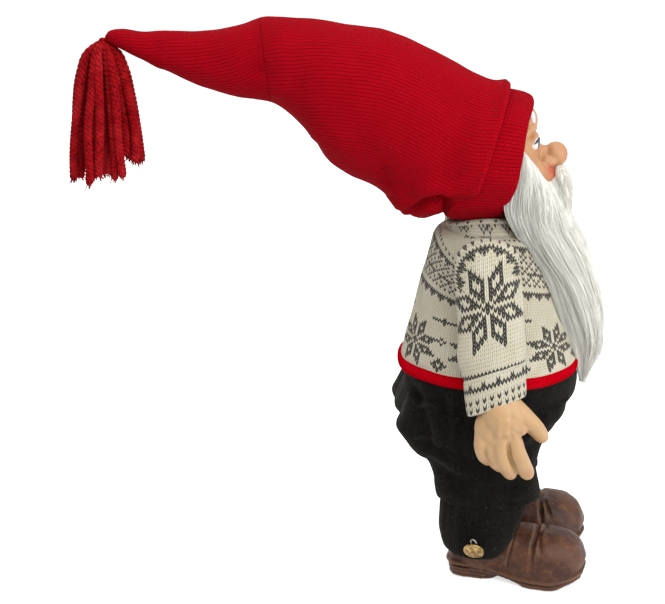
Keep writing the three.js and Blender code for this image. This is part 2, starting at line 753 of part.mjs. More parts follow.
function collar() {
  const low = shoulder + seatGap;
  const inner = neckRadius + runningGap;
  const ringAt = (height, reach) => levelOval(0, 0, height, inner + reach, inner + reach, 20);
  const outerForm = loft([
    ringAt(low, collarWall), ringAt(low + 0.6 * collarHeight, collarWall),
    ringAt(low + collarHeight, 0.5 * collarWall),
  ]);
  return cut(outerForm, loft([ringAt(low - 1, 0), ringAt(low + collarHeight + 1, 0)]));
}

function torsoCore() {
  const rods = [legRod(-1, seatGap), legRod(1, seatGap)];
  return cut(coreForm(0), neckPost(seatGap), ...rods, armWireRoom(-1), armWireRoom(1));
}

// An eye sits a little over half way into the face.
function eyeMiddle(side) {
  const sideShare = eyeApart / headHalfWidth;
  const riseShare = eyeRise / headHalfHeight;
  const face = headHalfDepth * Math.sqrt(1 - sideShare * sideShare - riseShare * riseShare);
  const x = face - headBack - 0.55 * eyeRadius;
  return new THREE.Vector3(x, side * eyeApart, headMiddle + eyeRise);
}

function headForm(grow) {
  const at = (x, y, height) => new THREE.Vector3(x - headBack, y, headMiddle + height);
  const skull = ellipsoid(
    at(0, 0, 0), headHalfDepth + grow, headHalfWidth + grow, headHalfHeight + grow, 20, 12,
  );
  const brow = ellipsoid(
    at(browForward, 0, browRise), browHalfDepth + grow, browHalfWidth + grow, browHalfDepth + grow, 16, 10,
  );
  const nose = ball(at(noseForward, 0, noseRise), noseRadius + grow, 12, 8);
  const root = at(bridgeForward, 0, noseRise + bridgeRise);
  const bridgeRadii = [0.93, 0.8].map((share) => share * noseRadius + grow);
  const bridge = bar([root, at(noseForward, 0, noseRise)], bridgeRadii, 8);
  const cheeks = [-1, 1].map((side) => (
    ball(at(cheekForward, side * cheekApart, -cheekDrop), cheekRadius + grow, 12, 8)
  ));
  const neck = rod(
    new THREE.Vector3(0, 0, shoulder + seatGap - grow),
    new THREE.Vector3(0, 0, headMiddle - 0.7 * headHalfHeight),
    neckRadius + grow, 20,
  );
  return join(skull, brow, nose, bridge, ...cheeks, neck);
}

function headShell() {
  const middle = new THREE.Vector3(-headBack, 0, headMiddle);
  const hollow = ellipsoid(
    middle, headHalfDepth - headWall, headHalfWidth - headWall, headHalfHeight - headWall, 12, 8,
  );
  const sockets = [-1, 1].map((side) => ball(eyeMiddle(side), eyeRadius + seatGap, 10, 7));
  return cut(headForm(0), hollow, neckPost(runningGap), ...sockets);
}

// A ring of the cap, moved ahead along its axis, with the sides leading by lead.
function capRing({ x, height, halfHeight, halfWidth, tilt, lead }, grow, ahead = 0) {
  const rise = new THREE.Vector3(Math.sin(tilt), 0, Math.cos(tilt));
  const axis = new THREE.Vector3(Math.cos(tilt), 0, -Math.sin(tilt));
  const middle = new THREE.Vector3(x, 0, height).addScaledVector(axis, ahead);
  const ring = oval(middle, across, rise, halfWidth + grow, halfHeight + grow, 18);
  return ring.map((point) => {
    const sideShare = point.y / (halfWidth + grow);
    return point.addScaledVector(axis, lead * sideShare * sideShare);
  });
}

function capForm(grow) {
  return loft(capSections.map((section) => capRing(section, grow)));
}

function behind(place) {
  const size = 600;
  return new THREE.BoxGeometry(size, size, size).translate(place.x - size / 2, 0, place.height);
}

function bendBall({ x, height, halfHeight }, gap) {
  return ball(new THREE.Vector3(x, 0, height), halfHeight * bendBallShare + gap, 28, 18);
}

function capPieces() {
  const whole = solid(capForm(0));
  const part = (place) => {
    const rear = whole.intersect(solid(behind(place)));
    return rear.add(whole.intersect(solid(bendBall(place, 0))));
  };
  const crown = whole
    .subtract(solid(headForm(seatGap)))
    .subtract(solid(behind(capBend)))
    .subtract(solid(bendBall(capBend, bendGap)));
  const tail = part(capBend)
    .subtract(solid(behind(capTipBend)))
    .subtract(solid(bendBall(capTipBend, bendGap)));
  const knot = solid(ball(tasselTop, capKnotRadius, 10, 8));
  return { crown, tail, tip: part(capTipBend).add(knot) };
}

// The folded band round the cap's mouth, as ahead of the mouth and as a share of its wall.
function brimForm(grow) {
  const mouth = capSections[0];
  const profile = [
    [brimAhead, 0.55], [0.7 * brimAhead, 1], [0, 1], [-0.6 * brimBehind, 1], [-brimBehind, 0.3],
  ];
  const outer = profile.map(([ahead, share]) => capRing(mouth, share * brimWall + grow, ahead));
  const inner = [-brimBehind - 1, brimAhead + 1].map((ahead) => capRing(mouth, brimFit - grow, ahead));
  return cut(loft(outer), loft(inner));
}

function capBrim() {
  return cut(brimForm(0), capForm(seatGap), headForm(seatGap));
}

function tassel() {
  const ringAt = (fall, radius, fluted) => {
    const flute = (angle) => fluted * tasselFluteDepth * Math.cos(tasselFluteCount * angle);
    return levelOval(
      tasselTop.x, 0, tasselTop.z - fall, radius, radius, 3 * tasselFluteCount, flute,
    );
  };
  const yarn = tasselStations.map(({ fall, radius, flute }) => (
    ringAt(mix(tasselNeckLength, tasselLength, fall), radius * tasselRadius, flute)
  ));
  const neck = [0.5 * capKnotRadius, tasselNeckLength].map((fall) => ringAt(fall, tasselNeckRadius, 0));
  return cut(loft([...neck, ...yarn]), ball(tasselTop, capKnotRadius + runningGap, 10, 8));
}

// The thread wound round the tassel's neck rests on the spread of the yarn.
function tasselTie() {
  const ring = new THREE.TorusGeometry(tasselNeckRadius + seatGap + tieRadius, tieRadius, 6, 14);
  ring.translate(tasselTop.x, 0, tasselTop.z - tasselNeckLength + tieRadius + seatGap);
  return geometryOf(solid(ring));
}

// What the beard hangs clear of, all round, so that the head can turn with it.
function beardRoom() {
  const frontAt = (height) => {
    const { x, halfX, halfY } = bodySection(height, 0, 0);
    return Math.max(x + halfX, halfY) + beardClear;
  };
  const tapeFront = hemForward + hemHalfDepth + hemTapeProud + beardClear;
  const seatFront = seatForward + seatHalfDepth + beardClear;
  const collarReach = neckRadius + runningGap + collarWall + beardClear;
  const roundStart = shoulder - shoulderRound;
  const rows = [
    [crotch, seatFront], [hem - 1.6 * hemTapeHeight, seatFront], [hem - hemTapeHeight, tapeFront],
    [hem, tapeFront], [hem + 1, frontAt(hem)], [roundStart, frontAt(roundStart)],
    [mix(roundStart, shoulder, 0.6), frontAt(roundStart)],
    [shoulder + beardClear, frontAt(shoulder - 1)], [shoulder + collarHeight + beardClear, collarReach],
  ];
  const roundUp = 1 / Math.cos(Math.PI / bodySides); // so that no flat lies inside the radius
  return loft(rows.map(([height, radius]) => (
    levelOval(0, 0, height, radius * roundUp, radius * roundUp, bodySides)
  )));
}

function moustacheForm(grow) {
  return join(...[-1, 1].map((side) => ellipsoid(
    new THREE.Vector3(
      moustacheForward, side * 0.45 * moustacheHalfWidth, headMiddle - moustacheDrop,
    ),
    moustacheHalfDepth + grow, 0.55 * moustacheHalfWidth + grow, moustacheHalfHeight + grow, 10, 7,
  )));
}

function moustache() {
  return cut(moustacheForm(0), headForm(seatGap));
}

function beard() {
  const top = headMiddle - beardDrop;
  const hanging = loft(beardStations.map(({ fall, front, width }) => levelOval(
    front * beardForward - beardHalfDepth, 0, top - fall * beardLength,
    beardHalfDepth, width * beardHalfWidth, 16,
  )));
  const sideburns = [-1, 1].map((side) => bar(
    sideburnStations.map(({ rise, x, out }) => new THREE.Vector3(
      x * headHalfDepth, side * out * headHalfWidth, headMiddle + rise * headHalfHeight,
    )),
    sideburnStations.map(({ radius }) => radius * sideburnRadius), 8,
  ));
  const eyes = [-1, 1].map((side) => ball(eyeMiddle(side), eyeRadius + seatGap, 10, 7));
  return cut(
    join(hanging, ...sideburns), beardRoom(), ...eyes,
    headForm(seatGap), brimForm(seatGap), capForm(seatGap), moustacheForm(seatGap),
  );
}

// The hand's shaft, which turns on the wire inside the sleeve's end.
function wristPlug(grow) {
  const top = new THREE.Vector3(0, 0, wristInSleeve + grow);
  return rod(top, new THREE.Vector3(0, 0, -wristLength), wristRadius + grow, 14);
}

function wristRoom(side) {
  return wristPlug(seatGap).applyMatrix4(handFrame(side).matrixWorld);
}

// A level section of the arm, raised towards the front by its slant.
function armRing(side, z, halfX, halfY, slant) {
  const x = -Math.min(z, 0) * wristForward / wristDrop;
  return levelOval(x, side * sleeveHalfDepth, z, halfX, halfY, 18)
    .map((point) => point.setZ(z + slant * (point.x - x)));
}

function sleeve(side) {
  const rings = sleeveStations.map(({ fall, width, depth }) => {
    const z = fall < 0 ? -fall * sleeveTop : -fall * sleeveLength;
    const slant = cuffEdgeSlant * Math.max(fall, 0) ** 2;
    return armRing(side, z, width * sleeveHalfWidth, depth * sleeveHalfDepth, slant);
  });
  return cut(loft(rings), armWire(side, seatGap));
}

// The cuff hangs lower behind the wrist, and is hollow there for the palm to turn in.
function sleeveCuff(side) {
  const top = -sleeveLength - seatGap;
  const rings = [top, top - cuffEdgeLength].map((z) => (
    armRing(side, z, cuffEdgeHalfWidth, cuffEdgeHalfDepth, cuffEdgeSlant)
  ));
  const hollow = [-wristDrop - palmRoomDrop, -wristDrop - wristLength].map((z) => armRing(
    side, z, cuffEdgeHalfWidth - cuffEdgeWall, cuffEdgeHalfDepth - cuffEdgeWall, 0,
  ));
  return cut(loft(rings), loft(hollow), armWire(side, seatGap), wristRoom(side));
}

// The hand is in its own frame, with the palm's inner side towards the body.
function hand(side) {
  const palm = loft(palmStations.map(({ fall, width, depth }) => levelOval(
    0, 0, -wristLength - fall * palmLength, width * palmHalfWidth, depth * palmHalfDepth, 14,
  )));
  const knuckle = -wristLength - 0.75 * palmLength;
  const fingers = fingerStations.map(({ place, length }) => {
    const x = place * (palmHalfWidth - fingerRadius);
    const reach = length * fingerLength;
    return bar(
      fingerCurl.map(({ fall, curl }) => (
        new THREE.Vector3(x, -side * curl * reach, knuckle - fall * reach)
      )),
      fingerCurl.map(({ radius }) => radius * fingerRadius), 7,
    );
  });
  const thumb = bar(
    thumbStations.map((at) => new THREE.Vector3(
      at.forward * thumbLength, -side * at.curl * thumbLength, -wristLength - at.fall * thumbLength,
    )),
    thumbStations.map(({ radius }) => radius * thumbRadius), 7,
  );
  const whole = join(wristPlug(0), palm, ...fingers, thumb);
  const toHand = handFrame(side).matrixWorld.clone().invert();
  return cut(whole, armWire(side, seatGap).applyMatrix4(toHand));
}

const figure = new THREE.Group();
add(figure, 'torso_core', torsoCore(), stuffing);
add(figure, 'neck_post', neckPost(0), beech);
add(figure, 'sweater_body', sweaterBody(), knitCream);
add(figure, 'sweater_collar', collar(), knitCream);
add(figure, 'sweater_hem_tape', hemTape(), tapeRed);
add(figure, 'trouser_seat', trouserSeat(), blackWool);

for (const [sideName, side] of [['right', -1], ['left', 1]]) {
  add(figure, `${sideName}_trouser_leg`, trouserLeg(side), blackWool);
  add(figure, `${sideName}_cuff_band`, cuffBand(side), blackWool);
  add(figure, `${sideName}_cuff_button`, cuffButton(side), brass);
  add(figure, `${sideName}_leg_rod`, legRod(side, 0), beech);
  add(figure, `${sideName}_shoe`, shoe(side), shoeBrown);

  const arm = armFrame(side);
  add(arm, `${sideName}_sleeve`, sleeve(side), knitCream);
  add(arm, `${sideName}_sleeve_cuff`, sleeveCuff(side), knitCream);
  add(arm, `${sideName}_arm_wire`, armWire(side, 0), wire);
  const wrist = handFrame(side);
  add(wrist, `${sideName}_hand`, hand(side), skin);
  arm.add(wrist);
  figure.add(arm);
}

const cap = capPieces();
add(figure, 'head_shell', headShell(), skin);
for (const [sideName, side] of [['right', -1], ['left', 1]]) {
  add(figure, `${sideName}_eye`, ball(eyeMiddle(side), eyeRadius, 10, 7), eyeGlass);
}
add(figure, 'beard', beard(), whiteFibre);
add(figure, 'moustache', moustache(), whiteFibre);
add(figure, 'cap_crown', geometryOf(cap.crown), knitRed);
add(figure, 'cap_brim', capBrim(), knitRed);
add(figure, 'cap_tail', geometryOf(cap.tail), knitRed);
add(figure, 'cap_tip', geometryOf(cap.tip), knitRed);
add(figure, 'tassel', tassel(), yarnRed);
add(figure, 'tassel_tie', tasselTie(), yarnRed);

// The reference point is the floor under the middle of the whole doll.
const box = new THREE.Box3().setFromObject(figure, true);
figure.position.set(-(box.min.x + box.max.x) / 2, 0, -box.min.z);

export default figure;
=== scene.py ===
import bpy
import json
import math
import numpy as np
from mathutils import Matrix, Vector, noise


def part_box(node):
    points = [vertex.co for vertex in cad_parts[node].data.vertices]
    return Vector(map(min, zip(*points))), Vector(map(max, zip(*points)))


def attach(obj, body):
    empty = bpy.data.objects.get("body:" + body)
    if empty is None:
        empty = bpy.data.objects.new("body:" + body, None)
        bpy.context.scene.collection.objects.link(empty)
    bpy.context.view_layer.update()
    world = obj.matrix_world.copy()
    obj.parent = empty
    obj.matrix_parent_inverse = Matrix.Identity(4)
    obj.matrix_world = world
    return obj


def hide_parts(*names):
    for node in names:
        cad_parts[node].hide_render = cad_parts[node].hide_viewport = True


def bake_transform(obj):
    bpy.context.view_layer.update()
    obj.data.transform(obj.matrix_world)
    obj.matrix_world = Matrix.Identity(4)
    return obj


# The looks of a standing santa doll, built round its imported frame.
# Sizes are millimetres in the doll's own frame: x ahead of the neck axis, y to its left, z up.

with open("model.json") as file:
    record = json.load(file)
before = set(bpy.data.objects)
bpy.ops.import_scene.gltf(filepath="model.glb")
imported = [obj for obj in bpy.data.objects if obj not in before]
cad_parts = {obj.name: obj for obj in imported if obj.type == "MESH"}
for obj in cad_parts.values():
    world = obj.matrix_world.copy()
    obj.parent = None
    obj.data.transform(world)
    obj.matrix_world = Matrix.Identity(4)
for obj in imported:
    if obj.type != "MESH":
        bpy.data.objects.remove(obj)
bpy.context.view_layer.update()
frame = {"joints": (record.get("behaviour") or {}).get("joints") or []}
joints = {joint["name"]: joint for joint in frame["joints"]}
neckX = joints["head_turn"]["pos_m"][0]
scene = bpy.context.scene
bothSides = (("right", -1), ("left", 1))
print("frame loaded")


# Points and meshes

def toRow(points):
    return np.asarray(points, float) * 0.001 + np.array([neckX, 0, 0])


def fromRow(points):
    return (np.asarray(points, float) - np.array([neckX, 0, 0])) * 1000


def hermite(first, last, slope, nextSlope, gap, t):
    return (
        first * (1 + 2 * t) * (1 - t) ** 2 + slope * gap * t * (1 - t) ** 2
        + last * t * t * (3 - 2 * t) + nextSlope * gap * t * t * (t - 1)
    )


def spline(knots, values, places):
    knots, values = np.asarray(knots, float), np.asarray(values, float)
    slopes = np.gradient(values, knots, axis=0)
    i = np.clip(np.searchsorted(knots, places) - 1, 0, len(knots) - 2)
    gap = knots[i + 1] - knots[i]
    t = (places - knots[i]) / gap
    if values.ndim > 1:
        gap, t = gap[:, None], t[:, None]
    return hermite(values[i], values[i + 1], slopes[i], slopes[i + 1], gap, t)


def through(values, count):  # the same curve through evenly spaced values, at count places
    values = np.asarray(values, float)
    return spline(np.arange(len(values)), values, np.linspace(0, len(values) - 1, count))


def circle(count):
    return 2 * math.pi * np.arange(count) / count


def squared(wave, power):  # a sine or cosine with its sign kept, drawn out towards a square
    return np.sign(wave) * np.abs(wave) ** power


def runningSum(steps):
    return np.concatenate([[0], np.cumsum(steps)])


def unit(vectors):
    return vectors / np.maximum(np.linalg.norm(vectors, axis=-1, keepdims=True), 1e-9)


def bump(x, width):  # 1 at x = 0, falling to nothing over a few widths
    return np.exp(-(np.asarray(x) / width) ** 2)


def ease(x, low, high):
    t = np.clip((np.asarray(x, float) - low) / (high - low), 0, 1)
    return t * t * (3 - 2 * t)


def noiseAt(points, size, seed=0):
    flat = np.asarray(points, float).reshape(-1, 3) / size + seed * 17.3
    values = np.array([noise.noise(Vector(p)) for p in flat])
    return values.reshape(np.asarray(points).shape[:-1])


def gridNormals(grid):  # of rows of closed rings, pointing away from each ring's middle
    along = np.gradient(grid, axis=0)
    around = np.roll(grid, -1, axis=1) - np.roll(grid, 1, axis=1)
    normals = unit(np.cross(around, along))
    out = grid - grid.mean(axis=1, keepdims=True)
    if (normals * out).sum() < 0:
        normals = -normals
    return normals


def gridFaces(rows, columns, closed=True):
    across = columns if closed else columns - 1
    r, c = np.meshgrid(np.arange(rows - 1), np.arange(across), indexing="ij")
    n = (c + 1) % columns
    here, below = r * columns, (r + 1) * columns
    return np.stack([here + c, here + n, below + n, below + c], -1).reshape(-1, 4).tolist()


def newPiece(name, points, faces, uvs=None, inRow=False):
    mesh = bpy.data.meshes.new(name)
    mesh.from_pydata(np.asarray(points if inRow else toRow(points)).tolist(), [], faces)
    if uvs is not None:
        layer = mesh.uv_layers.new(name="Knit")
        layer.data.foreach_set("uv", np.asarray(uvs, float).ravel())
    mesh.shade_smooth()
    mesh.validate()
    piece = bpy.data.objects.new(name, mesh)
    scene.collection.objects.link(piece)
    return piece


def skinPiece(name, grid, uvGrid=None):
    # rows of closed rings with both ends shut. uvGrid has one column more than grid.
    rows, columns = grid.shape[:2]
    points = np.vstack([grid.reshape(-1, 3), grid[0].mean(0), grid[-1].mean(0)])
    faces = gridFaces(rows, columns)
    first, last = rows * columns, rows * columns + 1
    for c in range(columns):
        n = (c + 1) % columns
        faces.append((first, n, c))
        faces.append((last, (rows - 1) * columns + c, (rows - 1) * columns + n))
    uvs = None
    if uvGrid is not None:
        a, b = uvGrid[:-1, :-1], uvGrid[:-1, 1:]
        d, e = uvGrid[1:, :-1], uvGrid[1:, 1:]
        uvs = np.stack([a, b, e, d], 2).reshape(-1, 2)
        ends = [
            [uvGrid[0, c], uvGrid[0, c + 1], uvGrid[0, c]] + [uvGrid[-1, c]] * 2 + [uvGrid[-1, c + 1]]
            for c in range(columns)
        ]
        uvs = np.vstack([uvs, np.array(ends).reshape(-1, 2)])
    piece = newPiece(name, points, faces, uvs)
    outward(piece)
    return piece


def outward(piece):
    mesh = piece.data
    co = np.zeros(len(mesh.vertices) * 3)
    mesh.vertices.foreach_get("co", co)
    co = co.reshape(-1, 3)
    mesh.calc_loop_triangles()
    tri = np.zeros(len(mesh.loop_triangles) * 3, int)
    mesh.loop_triangles.foreach_get("vertices", tri)
    a, b, c = co[tri.reshape(-1, 3)].transpose(1, 0, 2)
    if (np.cross(a, b) * c).sum() < 0:
        mesh.flip_normals()


def tubes(name, paths, radii, sides=3):
    # many closed tubes of equal point count in one mesh. paths is (tubes, points, 3).
    paths = np.asarray(paths, float)
    count, steps = paths.shape[:2]
    along = unit(np.gradient(paths, axis=1))
    helper = np.where(np.abs(along[..., 1:2]) < 0.8, [0.0, 1.0, 0.0], [1.0, 0.0, 0.0])
    side = unit(np.cross(along, helper))
    rise = np.cross(along, side)
    angle = circle(sides)
    ring = side[:, :, None] * np.cos(angle)[:, None] + rise[:, :, None] * np.sin(angle)[:, None]
    points = paths[:, :, None] + ring * np.asarray(radii)[..., None, None]
    step = steps * sides
    faces = np.array(gridFaces(steps, sides))
    allFaces = (faces[None] + np.arange(count)[:, None, None] * step).reshape(-1, 4).tolist()
    for t in range(count):
        allFaces.append([t * step + s for s in range(sides)])
        allFaces.append([t * step + step - 1 - s for s in range(sides)])
    piece = newPiece(name, points.reshape(-1, 3), allFaces)
    outward(piece)
    return piece


def merged(name, parts, voxel, smoothing=4):  # one skin round overlapping parts
    points, faces = [], []
    for part in parts:
        start = len(points)
        points += [tuple(v.co) for v in part.data.vertices]
        faces += [[start + i for i in face.vertices] for face in part.data.polygons]
        bpy.data.objects.remove(part)
    piece = newPiece(name, points, faces, inRow=True)
    remesh = piece.modifiers.new("Skin", "REMESH")
    remesh.mode = "VOXEL"
    remesh.voxel_size = voxel * 0.001
    soften = piece.modifiers.new("Soften", "SMOOTH")
    soften.factor = 0.5
    soften.iterations = smoothing
    shaped = piece.evaluated_get(bpy.context.evaluated_depsgraph_get())
    mesh = bpy.data.meshes.new_from_object(shaped)
    piece.modifiers.clear()
    piece.data = mesh
    mesh.shade_smooth()
    return piece


def closedBand(name, band, width, height, measured=0):
    # band holds closed rings round a tube. Its stitches are counted along the measured ring.
    steps, count = band.shape[:2]
    corners = ((0, 0), (0, 1), (1, 1), (1, 0))
    faces = [
        tuple((s + ds) % steps * count + (c + dc) % count for ds, dc in corners)
        for s in range(steps) for c in range(count)
    ]
    ring, section = band[measured], band[:, 0]
    going = runningSum(np.linalg.norm(np.roll(ring, -1, axis=0) - ring, axis=1)) / width
    over = runningSum(np.linalg.norm(np.roll(section, -1, axis=0) - section, axis=1)) / height
    uvs = [
        (going[c + dc], over[s + ds]) for s in range(steps) for c in range(count) for ds, dc in corners
    ]
    piece = newPiece(name, band.reshape(-1, 3), faces, uvs)
    outward(piece)
    return piece


def meshPoints(piece):
    co = np.zeros(len(piece.data.vertices) * 3)
    piece.data.vertices.foreach_get("co", co)
    return fromRow(co.reshape(-1, 3))


def meshNormals(piece):
    normals = np.zeros(len(piece.data.vertices) * 3)
    piece.data.vertex_normals.foreach_get("vector", normals)
    return normals.reshape(-1, 3)


def loopVertices(piece):
    loops = np.zeros(len(piece.data.loops), int)
    piece.data.loops.foreach_get("vertex_index", loops)
    return loops


def movePoints(piece, points):
    piece.data.vertices.foreach_set("co", toRow(points).ravel())
    piece.data.update()


def distanceTo(points, line):  # from each point to a line of points, and the place along it
    points, line = np.asarray(points, float), np.asarray(line, float)
    best = np.full(points.shape[:-1], 1e9)
    place = np.zeros(points.shape[:-1])
    for i, (a, b) in enumerate(zip(line[:-1], line[1:])):
        way = b - a
        t = np.clip(((points - a) @ way) / (way @ way), 0, 1)
        gap = np.linalg.norm(points - (a + t[..., None] * way), axis=-1)
        closer = gap < best
        best = np.where(closer, gap, best)
        place = np.where(closer, (i + t) / (len(line) - 1), place)
    return best, place


def crease(points, line, width, depth, fade=0.15):  # a valley along a line, fading at its ends
    gap, place = distanceTo(points, line)
    ends = ease(place, 0, fade) * (1 - ease(place, 1 - fade, 1))
    return -depth * bump(gap, width) * ends


def ball(middle, halves, columns=32, rows=20):
    theta, phi = np.linspace(0.02, math.pi - 0.02, rows), circle(columns)
    grid = np.stack([
        np.outer(np.sin(theta), np.cos(phi)), np.outer(np.sin(theta), np.sin(phi)),
        np.outer(np.cos(theta), np.ones(columns)),
    ], -1)
    return skinPiece("ball", grid * np.broadcast_to(halves, 3) + np.asarray(middle, float))


def limb(points, radii, sides=20, steps=6):  # a smooth round bar, for fingers and the like
    count = steps * (len(points) - 1) + 1
    path, radius = through(points, count), through(radii, count)
    along = unit(np.gradient(path, axis=0))
    ends = np.array([-0.95, -0.7])[:, None]  # the ends are drawn in over these shares of the radius
    closing = np.array([0.3, 0.72])
    rows = [path[0] + along[0] * ends * radius[0], path, path[-1] - along[-1] * ends[::-1] * radius[-1]]
    sizes = [closing * radius[0], radius, closing[::-1] * radius[-1]]
    return tubes("limb", [np.concatenate(rows)], [np.concatenate(sizes)], sides)


def dress(piece, material, body, slot, *nodes, name=None):
    piece.data.materials.clear()
    piece.data.materials.append(material)
    piece.name = name or piece.name
    if body:
        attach(piece, body)
    if nodes:
        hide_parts(*nodes)


# Shader fields

def feed(tree, place, value):  # a field, a socket or a fixed value, into a node's socket
    if isinstance(value, Field):
        value = value.socket
    if isinstance(value, bpy.types.NodeSocket):
        tree.links.new(value, place)
    else:
        place.default_value = value


class Field:
    def __init__(self, tree, socket):
        self.tree = tree
        self.socket = socket

    def op(self, operation, *values):
        node = self.tree.nodes.new("ShaderNodeMath")
        node.operation = operation
        for place, value in zip(node.inputs, (self, *values)):
            feed(self.tree, place, value)
        return Field(self.tree, node.outputs[0])

    def __add__(self, other):
        return self.op("ADD", other)

    def __sub__(self, other):
        return self.op("SUBTRACT", other)

    def __mul__(self, other):
        return self.op("MULTIPLY", other)

    def less(self, other):
        return self.op("LESS_THAN", other)

    def more(self, other):
        return self.op("GREATER_THAN", other)

    def low(self, other):
        return self.op("MINIMUM", other)

    def high(self, other):
        return self.op("MAXIMUM", other)

    def away(self):
        return self.op("ABSOLUTE")

    def floor(self):
        return self.op("FLOOR")

    def rest(self):
        return self.op("FRACT")

    def wrap(self, size):  # into 0 to size
        return self.op("WRAP", size, 0)

    def power(self, other):
        return self.op("POWER", other)

    def sine(self):
        return self.op("SINE")

    def between(self, lowest, highest):
        return self.more(lowest) * self.less(highest)

    def span(self, low, high, toLow=0.0, toHigh=1.0):
        node = self.tree.nodes.new("ShaderNodeMapRange")
        node.interpolation_type = "SMOOTHSTEP"
        self.tree.links.new(self.socket, node.inputs["Value"])
        for place, value in zip(("From Min", "From Max", "To Min", "To Max"),
                                (low, high, toLow, toHigh)):
            node.inputs[place].default_value = value
        return Field(self.tree, node.outputs["Result"])


def noiseField(tree, vector, scale, detail=3, roughness=0.55, stretch=None):
    if stretch:
        mapping = tree.nodes.new("ShaderNodeMapping")
        mapping.inputs["Scale"].default_value = stretch
        tree.links.new(vector, mapping.inputs["Vector"])
        vector = mapping.outputs[0]
    node = tree.nodes.new("ShaderNodeTexNoise")
    node.inputs["Scale"].default_value = scale
    node.inputs["Detail"].default_value = detail
    node.inputs["Roughness"].default_value = roughness
    tree.links.new(vector, node.inputs["Vector"])
    return Field(tree, node.outputs[0])


def mixed(tree, factor, first, second):
    node = tree.nodes.new("ShaderNodeMix")
    node.data_type = "RGBA"
    for place, value in ((0, factor), (6, first), (7, second)):
        feed(tree, node.inputs[place], (*value, 1) if isinstance(value, tuple) else value)
    return node.outputs[2]


def farFrom(tree, place, point):  # the distance of every place from a point
    node = tree.nodes.new("ShaderNodeVectorMath")
    node.operation = "DISTANCE"
    tree.links.new(place, node.inputs[0])
    node.inputs[1].default_value = toRow(point)
    return Field(tree, node.outputs["Value"])


def splitPlace(tree, place):
    node = tree.nodes.new("ShaderNodeSeparateXYZ")
    tree.links.new(place, node.inputs[0])
    return [Field(tree, output) for output in node.outputs]


def colour(red, green, blue):  # from the 0 to 255 values that a picture shows
    shares = [c / 255 for c in (red, green, blue)]
    return tuple(c / 12.92 if c < 0.0404 else ((c + 0.055) / 1.055) ** 2.4 for c in shares)


shaderSockets = {
    "sheen": "Sheen Weight", "sheenRoughness": "Sheen Roughness", "sheenTint": "Sheen Tint",
    "metallic": "Metallic", "roughness": "Roughness", "coat": "Coat Weight",
    "coatRoughness": "Coat Roughness", "specular": "Specular IOR Level",
    "subsurface": "Subsurface Weight", "subsurfaceScale": "Subsurface Scale",
    "scatter": "Subsurface Radius",
}


def newMaterial(name, **fixed):
    material = bpy.data.materials.new(name)
    material.use_nodes = True
    tree = material.node_tree
    shader = tree.nodes["Principled BSDF"]
    for key, value in fixed.items():
        value = (*value, 1) if key == "sheenTint" else value
        shader.inputs[shaderSockets[key]].default_value = value
    return material, tree, shader


def relief(tree, shader, height, distance):  # distance is in millimetres
    node = tree.nodes.new("ShaderNodeBump")
    node.inputs["Distance"].default_value = distance * 0.001
    tree.links.new(height.socket, node.inputs["Height"])
    tree.links.new(node.outputs[0], shader.inputs["Normal"])


def surfacePlace(tree):
    return tree.nodes.new("ShaderNodeTexCoord").outputs["Object"]


def knitPlace(tree, layer="Knit"):
    node = tree.nodes.new("ShaderNodeUVMap")
    node.uv_map = layer
    return node.outputs[0]


def grainMaterial(name, first, second, grain, depth=0.0, **fixed):
    # two colours along a noise, whose scale, detail, roughness and stretch grain gives
    material, tree, shader = newMaterial(name, **fixed)
    field = noiseField(tree, surfacePlace(tree), *grain)
    tree.links.new(mixed(tree, field.span(0.3, 0.7), first, second), shader.inputs["Base Color"])
    if depth:
        relief(tree, shader, field, depth)
    return material


def newGroup(name, inputs, outputs):
    tree = bpy.data.node_groups.new(name, "ShaderNodeTree")
    for socketName, kind, value in inputs:
        item = tree.interface.new_socket(name=socketName, in_out="INPUT", socket_type=kind)
        if value is not None:
            item.default_value = value
    for socketName, kind in outputs:
        tree.interface.new_socket(name=socketName, in_out="OUTPUT", socket_type=kind)
    start = tree.nodes.new("NodeGroupInput")
    given = {output.name: Field(tree, output) for output in start.outputs}
    return tree, given, tree.nodes.new("NodeGroupOutput")


def useGroup(tree, group, **values):
    node = tree.nodes.new("ShaderNodeGroup")
    node.node_tree = group
    for key, value in values.items():
        feed(tree, node.inputs[key], value)
    return {output.name: Field(tree, output) for output in node.outputs}


# Stockinette: each stitch is a V of two yarn legs. Place is in stitches and rows.
def makeKnitGroup():
    tree, given, end = newGroup(
        "knitStitches",
        [("Place", "NodeSocketVector", None), ("Slope", "NodeSocketFloat", 0.9),
         ("Roughness", "NodeSocketFloat", 0.35), ("Middle", "NodeSocketFloat", 0.5),
         ("Lines", "NodeSocketFloat", 0.7)],
        [("Height", "NodeSocketFloat"), ("Column", "NodeSocketFloat"), ("Row", "NodeSocketFloat"),
         ("Gap", "NodeSocketFloat")],
    )
    place = given["Place"].socket
    u, v, _ = splitPlace(tree, place)
    wobble = noiseField(tree, place, 0.35, 1)
    u = u + (wobble - 0.5) * 0.3
    out = (u.rest() - 0.5).away() * 2
    rising = v - out * given["Slope"]
    edge = out.power(6)
    centre = (out * -1 + 1).power(6) * given["Middle"]
    leg = (edge + centre) * -1 + 1
    turn = (rising.rest() * math.pi).sine().high(0.0).power(0.7)
    strand = noiseField(tree, place, 6.0, 2)
    height = leg * (turn * 0.5 + 0.5) + (strand - 0.5) * given["Roughness"]
    gap = (turn + (leg - turn) * given["Lines"]).span(0.12, 0.75, 1, 0)
    for socket, value in (("Height", height), ("Column", u.floor()), ("Row", rising.floor()),
                          ("Gap", gap)):
        tree.links.new(value.socket, end.inputs[socket])
    return tree


